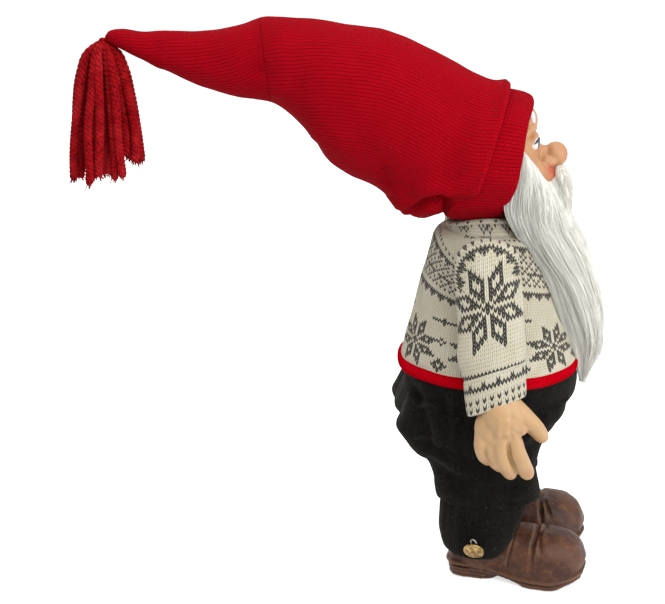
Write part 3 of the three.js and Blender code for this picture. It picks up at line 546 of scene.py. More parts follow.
# The traditional eight-pointed star. From the middle to the tips it has twice its size
# and two more stitches.
def makeStarGroup():
    tree, given, end = newGroup(
        "eightPointStar", [("Column", "NodeSocketFloat", 0.0), ("Row", "NodeSocketFloat", 0.0),
                           ("Size", "NodeSocketFloat", 3.0)],
        [("Mask", "NodeSocketFloat")],
    )
    i, j, size = given["Column"].away(), given["Row"].away(), given["Size"]
    far, near = i.high(j), i.low(j)
    slant = far - near
    petal = near.more(0.5) * near.less(size + 0.5) * slant.more(0.5) * slant.less(size + 2.5)
    hollow = near.more(1.5) * near.less(size - 0.5) * slant.more(2.5) * slant.less(size + 0.5)
    mask = petal * (hollow * -1 + 1) + (near + far).less(1.5)
    tree.links.new(mask.low(1.0).socket, end.inputs["Mask"])
    return tree


# A band that is one row high with teeth hanging from it.
def makeTeethGroup():
    tree, given, end = newGroup(
        "toothedBand", [("Column", "NodeSocketFloat", 0.0), ("Row", "NodeSocketFloat", 0.0),
                        ("Every", "NodeSocketFloat", 4.0)],
        [("Mask", "NodeSocketFloat")],
    )
    row, every = given["Row"], given["Every"]
    tooth = (given["Column"].wrap(every) - (every * 0.5).floor()).away()
    band = row.between(-0.5, 0.5)
    teeth = (row * -1).between(0.5, 2.5) * (tooth + row * -1).less(2.5)
    tree.links.new(band.high(teeth).socket, end.inputs["Mask"])
    return tree


# Loose short fibres: a soft uneven cast over a colour, and a fine nap for a bump.
def makeFuzzGroup():
    tree, given, end = newGroup(
        "fibreFuzz", [("Place", "NodeSocketVector", None), ("Fine", "NodeSocketFloat", 900.0),
                      ("Broad", "NodeSocketFloat", 60.0)],
        [("Nap", "NodeSocketFloat"), ("Cast", "NodeSocketFloat")],
    )
    for output, key, detail in (("Nap", "Fine", 4), ("Cast", "Broad", 3)):
        node = tree.nodes.new("ShaderNodeTexNoise")
        node.inputs["Detail"].default_value = detail
        tree.links.new(given["Place"].socket, node.inputs["Vector"])
        tree.links.new(given[key].socket, node.inputs["Scale"])
        tree.links.new(node.outputs[0], end.inputs[output])
    return tree


knitStitches = makeKnitGroup()
eightPointStar = makeStarGroup()
toothedBand = makeTeethGroup()
fibreFuzz = makeFuzzGroup()
print("shader groups made")


def knitMaterial(name, yarn, shadow, depth, cast=0.08, sheen=0.05):
    material, tree, shader = newMaterial(
        name, roughness=1.0, specular=0.06, sheen=sheen, sheenRoughness=0.5, sheenTint=yarn)
    place = knitPlace(tree)
    stitch = useGroup(tree, knitStitches, Place=place, Middle=0.25)
    fuzz = useGroup(tree, fibreFuzz, Place=place, Fine=9.0, Broad=0.12)
    base = mixed(tree, stitch["Gap"], yarn, shadow)
    base = mixed(tree, fuzz["Cast"].span(0.35, 0.7) * cast, base, tuple(min(1, c * 1.7) for c in yarn))
    tree.links.new(base, shader.inputs["Base Color"])
    relief(tree, shader, stitch["Height"] + (fuzz["Nap"] - 0.5) * 0.4, depth)
    return material


capKnit = knitMaterial("capKnit", colour(170, 0, 20), colour(24, 0, 2), 1.2)


# Cap

cap = {
    "columns": 176,
    "rowLength": 1.6,
    "stitchWidth": 2.2,
    "rowHeight": 1.6,
    "split": -134,  # in the fold behind the crown, where the tail's own skin starts
    "mouthTilt": 15,
    "mouthLead": (4.5, 9, 22),  # of its top ahead, of its underside back, and how far that reaches
    # x, z, height over and under, half width, tilt back in degrees, lead of the sides
    "stations": [
        (-7.5, 262, 48, 37, 45, 15, 0), (-15, 264.5, 45.6, 42.5, 44.8, 18, 0),
        (-26, 268, 46.5, 47, 43.5, 20, 3), (-46, 279.5, 48, 46.5, 43, 13, 2),
        (-68, 290.5, 47.3, 46, 42, 5, 0), (-85, 296, 45.2, 45, 40, 1, 0),
        (-102, 303, 40.8, 41.2, 36, -3, 0), (-116, 311.5, 32.8, 32, 30.5, -7, 0),
        (-132, 319, 26, 26, 26, -9, 0), (-152, 318.5, 20.5, 21.5, 21, -7, 0),
        (-174, 320.5, 16.2, 17.6, 16.5, -7, 0), (-192, 323.5, 14, 12.5, 13, -10, 0),
        (-205, 326.5, 10.6, 10.4, 11, -16, 0), (-216, 330, 8.4, 8, 8.4, -22, 0),
        (-221.5, 331.4, 6.6, 6, 6.4, -24, 0),
        (-225.5, 331.8, 4.6, 4.2, 4.2, -24, 0), (-228, 331.6, 2.2, 2.2, 2.2, -24, 0),
    ],
    # folds on the side towards the camera, and as they lie on the far side: line, width, depth
    "folds": [
        ([(-137, 346), (-139, 334), (-139, 323), (-138, 311)], 5.5, 2.6),
        ([(-124, 348), (-123, 330), (-125, 312), (-129, 298)], 6, -2.0),
        ([(-14, 308), (-18, 292), (-24, 274), (-29, 257), (-35, 245)], 6, 1.8),
        ([(-50, 228), (-41.4, 239), (-31.6, 242.5), (-26.6, 239), (-27, 230)], 2.8, 6.5),
        ([(-58, 248), (-53, 240), (-50, 234)], 4.5, -2.0),
        ([(-46, 232), (-36, 236), (-28, 234)], 3.4, -1.6),
        ([(-57, 242), (-54, 234), (-48, 227)], 5, -2.5),
        ([(-66, 262), (-64, 254), (-63, 247)], 3.5, 2.5),
        ([(-47, 247), (-36, 251), (-24, 248)], 5, -2.2),
        ([(-100, 300), (-84, 282), (-66, 262), (-50, 250)], 9, 1.3),
        ([(-112, 318), (-92, 304), (-66, 292), (-44, 288)], 11, 0.9),
        ([(-108, 272), (-96, 266), (-82, 262)], 6, 1.2),
        ([(-210, 331), (-190, 327), (-168, 322), (-150, 318)], 5, 0.7),
        ([(-198, 316), (-180, 311), (-160, 306)], 5, 0.8),
    ],
    # the mouth's edge rolls over and goes back inside, onto the band: ahead and inward
    "roll": ((-5, 8.6), (-1.2, 7.8), (1.8, 5.8), (3.2, 3.2), (2.6, 1.0)),
    "bendReach": (26, 18),  # a reach along the knit for each of the two joints, both ways
}


def capGrid():
    table = np.array(cap["stations"], float)
    length = runningSum(np.linalg.norm(np.diff(table[:, :2], axis=0), axis=1))
    places = np.linspace(0, length[-1], int(length[-1] / cap["rowLength"]))
    x, z, over, under, halfWidth, tilt, lead = spline(length, table, places).T
    tilt = np.radians(tilt)
    angle = circle(cap["columns"])
    across, rise = np.sin(angle), np.cos(angle)  # the first column is the top ridge
    up = np.stack([np.sin(tilt), 0 * tilt, np.cos(tilt)], -1)[:, None]
    axis = np.stack([np.cos(tilt), 0 * tilt, -np.sin(tilt)], -1)[:, None]
    height = np.where(rise[None] > 0, over[:, None], under[:, None]) * rise[None]
    ahead, back, far = cap["mouthLead"]
    lean = ahead * np.maximum(rise, 0) ** 2 - back * ease(-rise, 0.42, 0.66)
    lean = lean[None] * (1 - ease(places, 0, far))[:, None]
    grid = np.stack([x, 0 * x, z], -1)[:, None] + up * height[..., None] + axis * lean[..., None]
    grid[..., 1] += across[None] * halfWidth[:, None]
    grid += axis * (lead[:, None] * across[None] ** 2)[..., None]
    return grid, places


def capFolds(grid):
    flat = grid[..., [0, 2]]
    nearSide = 1 - ease(grid[..., 1], -6, 10)
    lift = np.zeros(grid.shape[:2])
    for line, width, depth in cap["folds"]:
        shape = crease(flat, line, width, depth)
        lift += shape * nearSide
        moved = [(x - 4, z - 3) for x, z in line]
        lift += 0.8 * crease(flat, moved, 1.15 * width, depth) * (1 - nearSide)
    lift += 1.3 * noiseAt(grid, 34, 1) + 0.45 * noiseAt(grid, 12, 2)
    return lift


def rowPlaces(grid):  # how far each row lies from the first one
    return runningSum(np.linalg.norm(np.diff(grid, axis=0), axis=2).mean(1))


def stitchPlaces(grid, width, height):
    # distance round from the first column, both ways, and along the rows, in stitches
    closed = np.concatenate([grid, grid[:, :1]], 1)
    steps = np.linalg.norm(np.diff(closed, axis=1), axis=2)
    u = np.concatenate([np.zeros((len(grid), 1)), np.cumsum(steps, 1)], 1)
    half = grid.shape[1] // 2
    u[:, half + 1:] -= u[:, -1:].copy()
    return u / width, np.broadcast_to(rowPlaces(grid)[:, None] / height, u.shape)


def buildCap():
    grid, places = capGrid()
    u, v = stitchPlaces(grid, cap["stitchWidth"], cap["rowHeight"])
    uvGrid = np.stack([u, -v], -1)
    lift = capFolds(grid)
    fade = ease(places, places[-1], places[-1] - 20)[:, None]
    grid = grid + gridNormals(grid) * (lift * fade)[..., None]
    mouth = grid[0]
    tilt = math.radians(cap["mouthTilt"])
    axis = np.array([math.cos(tilt), 0, -math.sin(tilt)])
    inward = unit(mouth.mean(0) - mouth)
    rolled = [mouth + axis * ahead + inward * drop for ahead, drop in cap["roll"]]
    grid = np.concatenate([np.array(rolled), grid])
    rows = range(len(rolled), 0, -1)
    uvGrid = np.concatenate([uvGrid[:1] + np.array([0.0, 0.4]) * k for k in rows] + [uvGrid])
    middle = grid[..., 0].mean(1)
    cut = int(np.argmin(np.abs(middle - cap["split"])))
    crown = skinPiece("cap_crown_knit", grid[:cut + 1], uvGrid[:cut + 1])
    tail = skinPiece("cap_tail_knit", grid[cut:], uvGrid[cut:])
    for piece, first, second, joint, reach in (
        (crown, "head", "cap_tail", "cap_bend", cap["bendReach"][0]),
        (tail, "cap_tail", "cap_tip", "cap_tip_bend", cap["bendReach"][1]),
    ):
        dress(piece, capKnit, None, "cap_knit")
        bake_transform(piece)
    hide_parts("cap_crown", "cap_tail")
    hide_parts("cap_tip")
    print("cap built")


brim = {
    "columns": 170,
    "wall": 4.2,
    "stitchWidth": 2.3,
    "rowHeight": 1.8,
    # how far ahead the front and the rear edge lie, from the underside up to the top
    "levels": (-1, -0.7, -0.4, 0, 0.3, 0.55, 0.8, 1),
    "front": (5.5, 8.2, 12.6, 15.4, 17.0, 18.6, 21.4, 25.6),
    "rear": (-27, -24, -18, -12, -7, -3, 1, 4),
    # height over and under the middle, half width, height of the middle
    "frontOval": (34, 41, 42.4, 264),
    "rearOval": (36, 42, 40.2, 266),
}


def buildBrim():
    angle = circle(brim["columns"])
    across, rise = np.sin(angle), np.cos(angle)

    def rim(edge):
        over, under, wide, middle = brim[edge + "Oval"]
        z = middle + np.where(rise > 0, over, under) * rise
        return np.stack([spline(brim["levels"], brim[edge], rise), wide * across, z], -1)

    front, rear = rim("front"), rim("rear")
    away = np.stack([0 * across, across, rise], -1)
    puff = 0.35 * np.sin(7 * angle + 1) + 0.3 * np.sin(13 * angle)
    rows = []
    for t in circle(40):  # round the folded band, by its share of the way ahead
        share = 0.5 + 0.5 * squared(np.cos(t), 0.55)
        out = 0.5 * brim["wall"] * (1 + squared(np.sin(t), 0.7))
        size = out - brim["wall"] + 0.8 * math.sin(math.pi * share) + (0.5 + 0.5 * np.sin(t)) * puff
        rows.append(rear + (front - rear) * share + away * size[:, None])
    piece = closedBand("cap_brim_knit", np.array(rows), brim["stitchWidth"], brim["rowHeight"], 9)
    dress(piece, capKnit, "head", "cap_knit", "cap_brim")
    print("brim built")


buildCap()
buildBrim()


# Tassel

tassel = {
    # rings of strands: how many, share of the spread, turned by
    "rings": ((12, 1.0, 0), (8, 0.72, 0.4), (4, 0.4, 1.57)),
    "length": 81,
    "spread": 21.5,
    # down a strand, as shares: place along it, reach outward, fall
    "profile": (
        (0, 0.06, -1.5 / 90), (0.035, 0.21, 0.5 / 90), (0.09, 0.42, 5 / 90), (0.2, 0.61, 17 / 90),
        (0.42, 0.78, 38 / 90), (0.7, 0.9, 64 / 90), (1, 1, 1),
    ),
    "strandSteps": 118,
    "plyRadius": 1.4,
    "twistLength": 7.5,
    "frayed": 9,  # loose fibres at each strand's end
    "tieTurns": 3.4,
    "seed": 5,
}


def strandPath(angle, radius, length, rng):
    knots, out, fall = np.array(tassel["profile"]).T
    places = np.linspace(0, 1, tassel["strandSteps"])
    r, z = spline(knots, out * radius, places), spline(knots, fall * length, places)
    sway = rng.uniform(-1, 1, 4)
    turn = angle + 0.12 * sway[0] * np.sin(3.1 * places)
    turn += 0.05 * sway[1] * np.sin(9 * places + sway[2])
    r = r * (1 + 0.07 * sway[3] * np.sin(6 * places + sway[0]))
    return np.stack([r * np.cos(turn), r * np.sin(turn), -z], -1)


def yarnMaterial(name, yarn, shadow, stretch):
    material, tree, shader = newMaterial(
        name, roughness=1.0, specular=0.08, sheen=0.1, sheenRoughness=0.5, sheenTint=yarn)
    place = surfacePlace(tree)
    fuzz = useGroup(tree, fibreFuzz, Place=place, Fine=2600.0, Broad=90.0)
    strand = noiseField(tree, place, 1500, 3, 0.6, stretch)
    base = mixed(tree, strand.span(0.35, 0.65), shadow, yarn)
    pale = tuple(min(1, c * 1.5 + 0.02) for c in yarn)
    base = mixed(tree, fuzz["Cast"].span(0.4, 0.7) * 0.25, base, pale)
    tree.links.new(base, shader.inputs["Base Color"])
    relief(tree, shader, strand + fuzz["Nap"] * 0.6, 0.25)
    return material


tasselYarn = yarnMaterial("tasselYarn", colour(158, 10, 18), colour(84, 2, 7), (1, 1, 0.35))


def buildStrand(angle, ring, rng):
    # one strand's plies and the loose fibres at its end, as paths and radii
    length = tassel["length"] * (1 + rng.uniform(-0.08, 0.03) - 0.14 * ease(math.cos(angle), 0, 1))
    path = strandPath(angle, ring * tassel["spread"] * rng.uniform(0.93, 1.04), length, rng)
    along = unit(np.gradient(path, axis=0))
    side = unit(np.cross(along, np.array([-math.sin(angle), math.cos(angle), 0.0])))
    rise = np.cross(side, along)
    distance = np.linspace(0, length, len(path))
    swell = 0.55 + 0.45 * ease(distance, 0, 14)
    phase = rng.uniform(0, 6)
    plies, fibres = [], []
    for ply in range(3):
        turn = phase + 2 * math.pi * (ply / 3 + distance / tassel["twistLength"])
        reach = (1.05 * swell)[:, None] * tassel["plyRadius"]
        wound = path + reach * (side * np.cos(turn)[:, None] + rise * np.sin(turn)[:, None])
        radius = tassel["plyRadius"] * swell * (1 - 0.35 * ease(distance, length - 3, length))
        plies.append((wound, radius))
    for _ in range(tassel["frayed"]):
        way = np.array([rng.uniform(-1, 1), rng.uniform(-1, 1), -rng.uniform(1.6, 3.2)])
        start = path[-1] + np.array([rng.uniform(-1.6, 1.6), rng.uniform(-1.6, 1.6), 1.2])
        bend = np.array([rng.uniform(-1, 1), rng.uniform(-1, 1), 0]) * 1.2
        t = np.linspace(0, 1, 5)[:, None]
        fibres.append((start + unit(way) * t * rng.uniform(2.5, 5.5) + bend * t * t,
                       0.42 * (1 - 0.6 * t[:, 0])))
    return plies, fibres


def buildTassel():
    rng = np.random.default_rng(tassel["seed"])
    knot = fromRow(joints["tassel_swing"]["pos_m"])
    top = knot - [0, 0, 4.5]
    plies, fibres = [], []
    for count, ring, offset in tassel["rings"]:
        for i in range(count):
            angle = 2 * math.pi * (i / count + 0.02 * rng.uniform(-1, 1)) + offset
            strand, ends = buildStrand(angle, ring, rng)
            plies += strand
            fibres += ends
    for name, lines, sides, nodes in (("tassel_strands", plies, 7, ["tassel"]),
                                      ("tassel_frayed_ends", fibres, 4, [])):
        yarn = tubes(name, [path + top for path, _ in lines], [radius for _, radius in lines], sides)
        dress(yarn, tasselYarn, "tassel", "tassel_yarn", *nodes)
    # the short cord from the end of the cap, and the neck that hangs on it
    turn = knot - [0, 0, 2]
    cord = limb([(-224.5, 0, 331.6), (-229.5, 0, 331.4), turn], [1.2, 1.5, 1.7], 12)
    dress(cord, tasselYarn, "cap_tip", "tassel_yarn", name="cap_end_cord")
    neck = limb([turn, knot - [0, 0, 4], knot - [0, 0, 8]], [1.7, 2.2, 3.2], 12)
    dress(neck, tasselYarn, "tassel", "tassel_yarn", name="tassel_neck")
    # the wound thread that binds the neck
    turns = tassel["tieTurns"]
    t = np.linspace(0, turns, int(turns * 26))
    low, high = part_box("tassel_tie")
    size = (high - low) * 500
    radius = size.x - 1.4
    helix = np.stack([radius * np.cos(2 * math.pi * t), radius * np.sin(2 * math.pi * t),
                      size.z * (2 * t / turns - 1)], -1) + fromRow((low + high) / 2)
    tie = tubes("tassel_tie_thread", [helix], [np.full(len(t), 0.62)], 8)
    dress(tie, tasselYarn, "tassel", "tassel_yarn", "tassel_tie")
    print("tassel built")


buildTassel()


# Head: a soft vinyl face that shows between the cap and the beard

head = {
    "voxel": 0.75,
    "eyeMiddle": (24.15, 12, 272),
    "eyeRadius": 5.0,
    "socketGap": 0.15,
    # places and half sizes of the balls in the middle plane: skull, forehead, brow, chin, nose
    "balls": [
        ((-3, 0, 260), (33.5, 33.5, 36.5)), ((4, 0, 277), (22.5, 27, 20)),
        ((6, 0, 283.5), (22.6, 24, 14.8)), ((32, 0, 250.5), (9, 13, 8)),
        ((39.9, 0, 262.6), (7.4, 7.8, 7.7)),
    ],
    # the nose's bridge and the neck: line, radii, sides
    "bars": [
        ([(22.6, 0, 268), (30, 0, 263.6), (38, 0, 262)], [5.6, 5.2, 6], 20),
        ([(0, 0, 214.6), (0, 0, 234)], [14.4, 14.4], 28),
    ],
    # the same on both sides: nostril and cheeks, then brow ridge, frown and eyelids
    "pairedBalls": [
        ((34.5, 6, 258.6), (5.2, 4, 4.2)), ((20, 16, 255), (12, 11.5, 11)),
        ((27, 9.5, 251), (8.5, 7.5, 9)),
    ],
    "pairedBars": [
        ([(23.4, 4.6, 279), (23.8, 10, 281.4), (20.2, 18, 280), (16, 22, 275)],
         [3.4, 3.6, 3.2, 2.6], 14),
        ([(21.5, 4, 289), (22.5, 5, 284)], [3.5, 3.8], 14),
        ([(24.6, 6.4, 268.4), (26.2, 11, 266.8), (22.8, 17.2, 268.2)], [1.5, 1.8, 1.5], 12),
        ([(26.15, 6.8, 274.4), (26.75, 12, 276.5), (23.35, 17.4, 273.4)], [1.3, 1.6, 1.4], 12),
    ],
    "eyebrow": ([(24.0, 11.2, 282), (23.9, 12.8, 286), (22.5, 14.5, 290.5), (18, 17.7, 293.5)],
                [1.1, 1.8, 1.8, 0.8], 18),
    "lashLine": ([(26.95, 7.8, 273.4), (28.25, 11.2, 274.5), (27.05, 15.8, 273.9),
                  (25.15, 17.4, 272.2)], [0.4, 0.85, 0.8, 0.25], 8),
    # rosy spots on the nose, under the cheeks and by the nostrils: middle, radius, strength
    "spots": [
        ((48, 0, 261), 9, 0.6), ((36, -10, 253), 8, 0.4), ((36, 10, 253), 8, 0.4),
        ((37.5, -8.6, 254.5), 5.5, 0.75), ((37.5, 8.6, 254.5), 5.5, 0.75),
    ],
}


def skinMaterial(name, tone, blush, spots):
    # spots are (middle, radius, strength) where the paint is rosy
    material, tree, shader = newMaterial(
        name, roughness=0.42, specular=0.4, subsurface=0.12, subsurfaceScale=0.004)
    place = surfacePlace(tree)
    cast = noiseField(tree, place, 55, 3)
    fine = noiseField(tree, place, 1400, 3)
    base = mixed(tree, cast.span(0.3, 0.7) * 0.35, tone, tuple(c * 0.82 for c in tone))
    for middle, radius, strength in spots:
        reach = radius * 0.001
        near = farFrom(tree, place, middle).span(0.2 * reach, reach, 1, 0)
        base = mixed(tree, near * strength, base, blush)
    tree.links.new(base, shader.inputs["Base Color"])
    tree.links.new((fine * 0.12 + 0.36).socket, shader.inputs["Roughness"])
    relief(tree, shader, fine * 0.4 + cast, 0.08)
    return material


def buildHead():
    x, y, z = head["eyeMiddle"]
    parts = [ball(*values) for values in head["balls"]] + [limb(*values) for values in head["bars"]]
    for side in (-1, 1):
        mirror = np.array([1, side, 1])
        parts += [ball(middle * mirror, halves) for middle, halves in head["pairedBalls"]]
        parts += [limb(line * mirror, *values) for line, *values in head["pairedBars"]]
    face = merged("face", parts, head["voxel"], 5)
    # round sockets for the eyes
    points = meshPoints(face)
    socket = head["eyeRadius"] + head["socketGap"]
    for side in (-1, 1):
        distance = np.linalg.norm(points - [x, side * y, z], axis=1)
        inside = distance < socket
        points[inside, 0] -= (socket - distance[inside]) * 1.4
    movePoints(face, points)
    skin = skinMaterial("paintedSkin", colour(174, 127, 88), colour(168, 62, 46), head["spots"])
    dress(face, skin, "head", "skin_vinyl", "head_shell")

    eyePaint, tree, shader = newMaterial("paintedEye", roughness=0.12, coat=0.3, coatRoughness=0.04)
    place = surfacePlace(tree)
    pupils = [farFrom(tree, place, (x + head["eyeRadius"], side * (y + 0.2), z - 0.1))
              for side in (-1, 1)]
    reach = pupils[0].low(pupils[1])
    ray = noiseField(tree, place, 1800, 2)
    iris = mixed(tree, ray.span(0.35, 0.65), colour(46, 66, 92), colour(88, 118, 142))
    painted = mixed(tree, reach.span(0.0034, 0.0039), iris, colour(28, 30, 36))
    vein = noiseField(tree, place, 300, 2).span(0.3, 0.8) * 0.2
    white = mixed(tree, vein, colour(214, 212, 208), colour(186, 176, 168))
    painted = mixed(tree, reach.span(0.0039, 0.0042), painted, white)
    painted = mixed(tree, reach.span(0.0014, 0.0017, 1, 0), painted, (0.006, 0.006, 0.007))
    tree.links.new(painted, shader.inputs["Base Color"])
    relief(tree, shader, ray, 0.01)
    lashes, tree, shader = newMaterial("lashPaint", roughness=0.5)
    shade = noiseField(tree, surfacePlace(tree), 700, 2)
    tree.links.new(mixed(tree, shade, colour(24, 18, 16), colour(52, 38, 32)),
                   shader.inputs["Base Color"])
    brow = grainMaterial("browPaint", colour(188, 191, 200), colour(216, 219, 226),
                         (900, 3, 0.6, (0.3, 1, 1)), 0.25, roughness=0.4, coat=0.2, specular=0.4)
    for sideName, side in bothSides:
        eye = ball((x, side * y, z), head["eyeRadius"], 40, 26)
        dress(eye, eyePaint, "head", "eye_gloss", sideName + "_eye", name=sideName + "_painted_eye")
    for sideName, side in bothSides:
        mirror = np.array([1, side, 1])
        for key, material, slot, name in (("eyebrow", brow, "beard_fibre", "_eyebrow"),
                                          ("lashLine", lashes, "eye_gloss", "_lash_line")):
            line, radii, sides = head[key]
            dress(limb(line * mirror, radii, sides, 8), material, "head", slot, name=sideName + name)
    print("head built")


buildHead()


# Beard: combed white fibre that falls from the cheeks and lies on the chest

beard = {
    "columns": 121,
    "rows": 110,
    "thickness": 7,
    "strands": 2700,  # on each half
    "strandSteps": 13,
    "strandRadius": 0.2,
    "seed": 11,
    # lines along which the fibre falls on the right half, from the sideburn to the middle
    "flow": [
        [(15, -34.5, 274), (13, -34.5, 262), (9, -33, 249), (7, -31, 238),
         (10, -30.5, 228), (20, -29, 212), (28.5, -28, 201), (35.5, -26.5, 186),
         (42, -23.5, 170), (47.5, -19, 154), (53.5, -12, 137), (60, -2, 119)],
        [(20, -30.5, 268), (22, -33, 256), (24, -34, 243), (26, -34, 231),
         (30, -33, 220), (38, -31, 206), (46, -28.5, 193), (53, -25, 178),
         (58, -20.5, 163), (61.5, -15, 148), (62, -9.5, 133), (61, -1.2, 118.5)],
        [(27, -24, 259), (30, -27, 248), (33, -28.5, 237), (36.5, -28.5, 226),
         (41, -27.5, 215), (49, -25.5, 201), (56, -22.5, 187), (61, -19, 173),
         (64.5, -15, 158), (66, -11, 144), (64.6, -7, 131), (61.4, -0.8, 118)],
        [(35, -13, 248.5), (38.5, -17, 241), (42, -19.5, 232), (45, -20, 222),
         (50, -18.5, 211), (57, -17, 198), (62.5, -15, 184), (67, -12, 169),
         (69, -9.5, 155), (69.5, -6.5, 141), (65.4, -4.4, 130), (61.8, -0.4, 117.5)],
        [(43, -4, 254), (47, -5, 247), (47.6, -6, 237), (48.4, -6.5, 227),
         (54, -6, 215), (60.5, -6, 200), (66, -5, 185), (69.6, -4, 169),
         (70.8, -3, 155), (68, -2.2, 142), (65.6, -1.4, 130), (62, 0, 117.5)],
    ],
    "flowKnots": (-1, -0.78, -0.55, -0.3, -0.08, 0.08, 0.3, 0.55, 0.78, 1),  # where they lie
}


def beardSheet(u, v):
    # u from -1 at the right sideburn to 1 at the left one, v from the roots to the tip
    lines = np.array(beard["flow"], float)
    lines = np.concatenate([lines, lines[::-1] * np.array([1, -1, 1])])
    knots = np.array(beard["flowKnots"])
    rows = np.linspace(0, 1, lines.shape[1])
    down = np.stack([spline(rows, line, v) for line in lines])
    i = np.clip(np.searchsorted(knots, u) - 1, 0, len(knots) - 2)
    slopes = np.gradient(down, knots, axis=0)
    gap = (knots[i + 1] - knots[i])[:, None]
    t = (u - knots[i])[:, None] / gap
    k = np.arange(len(u))
    return hermite(down[i, k], down[i + 1, k], slopes[i, k], slopes[i + 1, k], gap, t)


def beardWaves(u, v):  # how far locks stand out, and how they drift sideways on the way down
    place = np.stack([u * 9 + 0.8 * np.sin(5 * v + 2 * u), v * 2.2, 0 * u], -1)
    broad = noiseAt(place, 1.0, 3)
    fine = noiseAt(place * np.array([3.1, 1.3, 1]), 1.0, 4)
    step = bump(v - 0.27, 0.05) * -1.2 + bump(v - 0.42, 0.06) * 0.9 + bump(v - 0.78, 0.05) * 0.7
    return 1.7 * broad + 0.7 * fine + step


def fibreMaterial():
    material, tree, shader = newMaterial(
        "beardFibre", roughness=0.75, specular=0.2, sheen=0.2, sheenRoughness=0.5,
        subsurface=0.3, subsurfaceScale=0.006, scatter=(1, 1, 0.9))
    place = knitPlace(tree)
    strand = noiseField(tree, place, 1.0, 4, 0.6, (260, 3.2, 1))
    lock = noiseField(tree, place, 1.0, 3, 0.5, (38, 2.0, 1))
    shade = strand.span(0.3, 0.7) * 0.4 + lock.span(0.3, 0.7) * 0.6
    base = mixed(tree, shade, colour(218, 217, 205), colour(242, 242, 235))
    tree.links.new(base, shader.inputs["Base Color"])
    relief(tree, shader, strand * 0.5 + lock * 0.6, 0.35)
    return material


beardFibre = fibreMaterial()


def paintStrands(piece, steps, sides, uvPlaces):
    # every strand takes the beard's own fibre coordinates at its root
    layer = piece.data.uv_layers.new(name="Knit")
    loops = loopVertices(piece)
    strand = loops // (steps * sides)
    step = (loops % (steps * sides)) // sides
    layer.data.foreach_set("uv", uvPlaces[strand, step].ravel())


def buildBeard():
    u = np.linspace(-1, 1, beard["columns"])
    v = np.linspace(0, 1, beard["rows"])
    grid = np.array([beardSheet(u, np.full(len(u), down)) for down in v])
    along = np.gradient(grid, axis=0)
    around = np.gradient(grid, axis=1)
    normals = unit(np.cross(along, around))
    if normals[..., 0].sum() < 0:
        normals = -normals
    waves = beardWaves(*np.meshgrid(u, v))
    rim = ease(1 - np.abs(u), 0, 0.12)[None] * ease(v, 0, 0.08)[:, None]
    outer = grid + normals * ((waves + 0.5) * rim)[..., None]
    thick = beard["thickness"] * (0.35 + 0.65 * np.sin(math.pi * np.clip(v, 0.03, 0.97)))[:, None]
    thick = thick * (0.25 + 0.75 * ease(1 - np.abs(u), 0, 0.3))[None]
    inner = grid - normals * thick[..., None]
    rows, columns = outer.shape[:2]
    points = np.concatenate([outer.reshape(-1, 3), inner.reshape(-1, 3)])
    size = rows * columns
    front = np.array(gridFaces(rows, columns, closed=False))
    faces = front.tolist() + (front[:, ::-1] + size).tolist()
    edge = ([(0, c) for c in range(columns)] + [(r, columns - 1) for r in range(1, rows)]
            + [(rows - 1, c) for c in range(columns - 2, -1, -1)]
            + [(r, 0) for r in range(rows - 2, 0, -1)])
    ids = [r * columns + c for r, c in edge]
    for a, b in zip(ids, ids[1:] + ids[:1]):
        faces.append((b, a, a + size, b + size))
    uv = np.stack(np.meshgrid(u, v), -1).reshape(-1, 2)
    uv = np.concatenate([uv, uv])
    uvs = np.array([uv[i] for face in faces for i in face])
    mass = newPiece("beard_mass", points, faces, uvs)
    outward(mass)
    dress(mass, beardFibre, "head", "beard_fibre", "beard")

    rng = np.random.default_rng(beard["seed"])
    steps, sides = beard["strandSteps"], 3
    for sideName, side in bothSides:
        count = beard["strands"]
        root = side * rng.uniform(0, 1, count) ** 0.8
        early = rng.uniform(0, 1, count) < 0.35
        start = np.where(early, rng.uniform(0, 0.06, count), rng.uniform(0, 0.6, count))
        reach = np.clip(start + rng.uniform(0.25, 0.6, count), 0, 1.0)
        drift = rng.normal(0, 0.035, count)
        wave = rng.uniform(0, 6.28, count)
        lift = np.abs(rng.normal(0, 0.9, count))
        t = np.linspace(0, 1, steps)
        vv = start[:, None] + (reach - start)[:, None] * t
        uu = root[:, None] + drift[:, None] * t + 0.012 * np.sin(wave[:, None] + 9 * vv)
        uu = np.clip(uu, -1, 1)
        flatU, flatV = uu.ravel(), np.clip(vv, 0, 1).ravel()
        here = beardSheet(flatU, flatV)
        step = 0.01
        right = (beardSheet(np.clip(flatU + step, -1, 1), flatV)
                 - beardSheet(np.clip(flatU - step, -1, 1), flatV))
        down = (beardSheet(flatU, np.clip(flatV + step, 0, 1))
                - beardSheet(flatU, np.clip(flatV - step, 0, 1)))
        out = unit(np.cross(down, right))
        away = here * [1, 1, 0] - [8, 0, 0]
        out = np.where((out * away).sum(1, keepdims=True) < 0, -out, out)
        rimHere = ease(1 - np.abs(flatU), 0, 0.12) * ease(flatV, 0, 0.08)
        height = (beardWaves(flatU, flatV) + 0.5) * rimHere
        rise = (0.15 + lift[:, None] * np.sin(math.pi * np.clip(t, 0, 0.85) / 1.1)).ravel()
        path = (here + out * (height + rise)[:, None]).reshape(count, steps, 3)
        radii = beard["strandRadius"] * (1 - 0.75 * t)[None] * rng.uniform(0.7, 1.2, count)[:, None]
        strands = tubes(f"beard_strands_{sideName}", path, radii, sides)
        paintStrands(strands, steps, sides, np.stack([uu, vv], -1))
        dress(strands, beardFibre, "head", "beard_fibre")
    print("beard built")


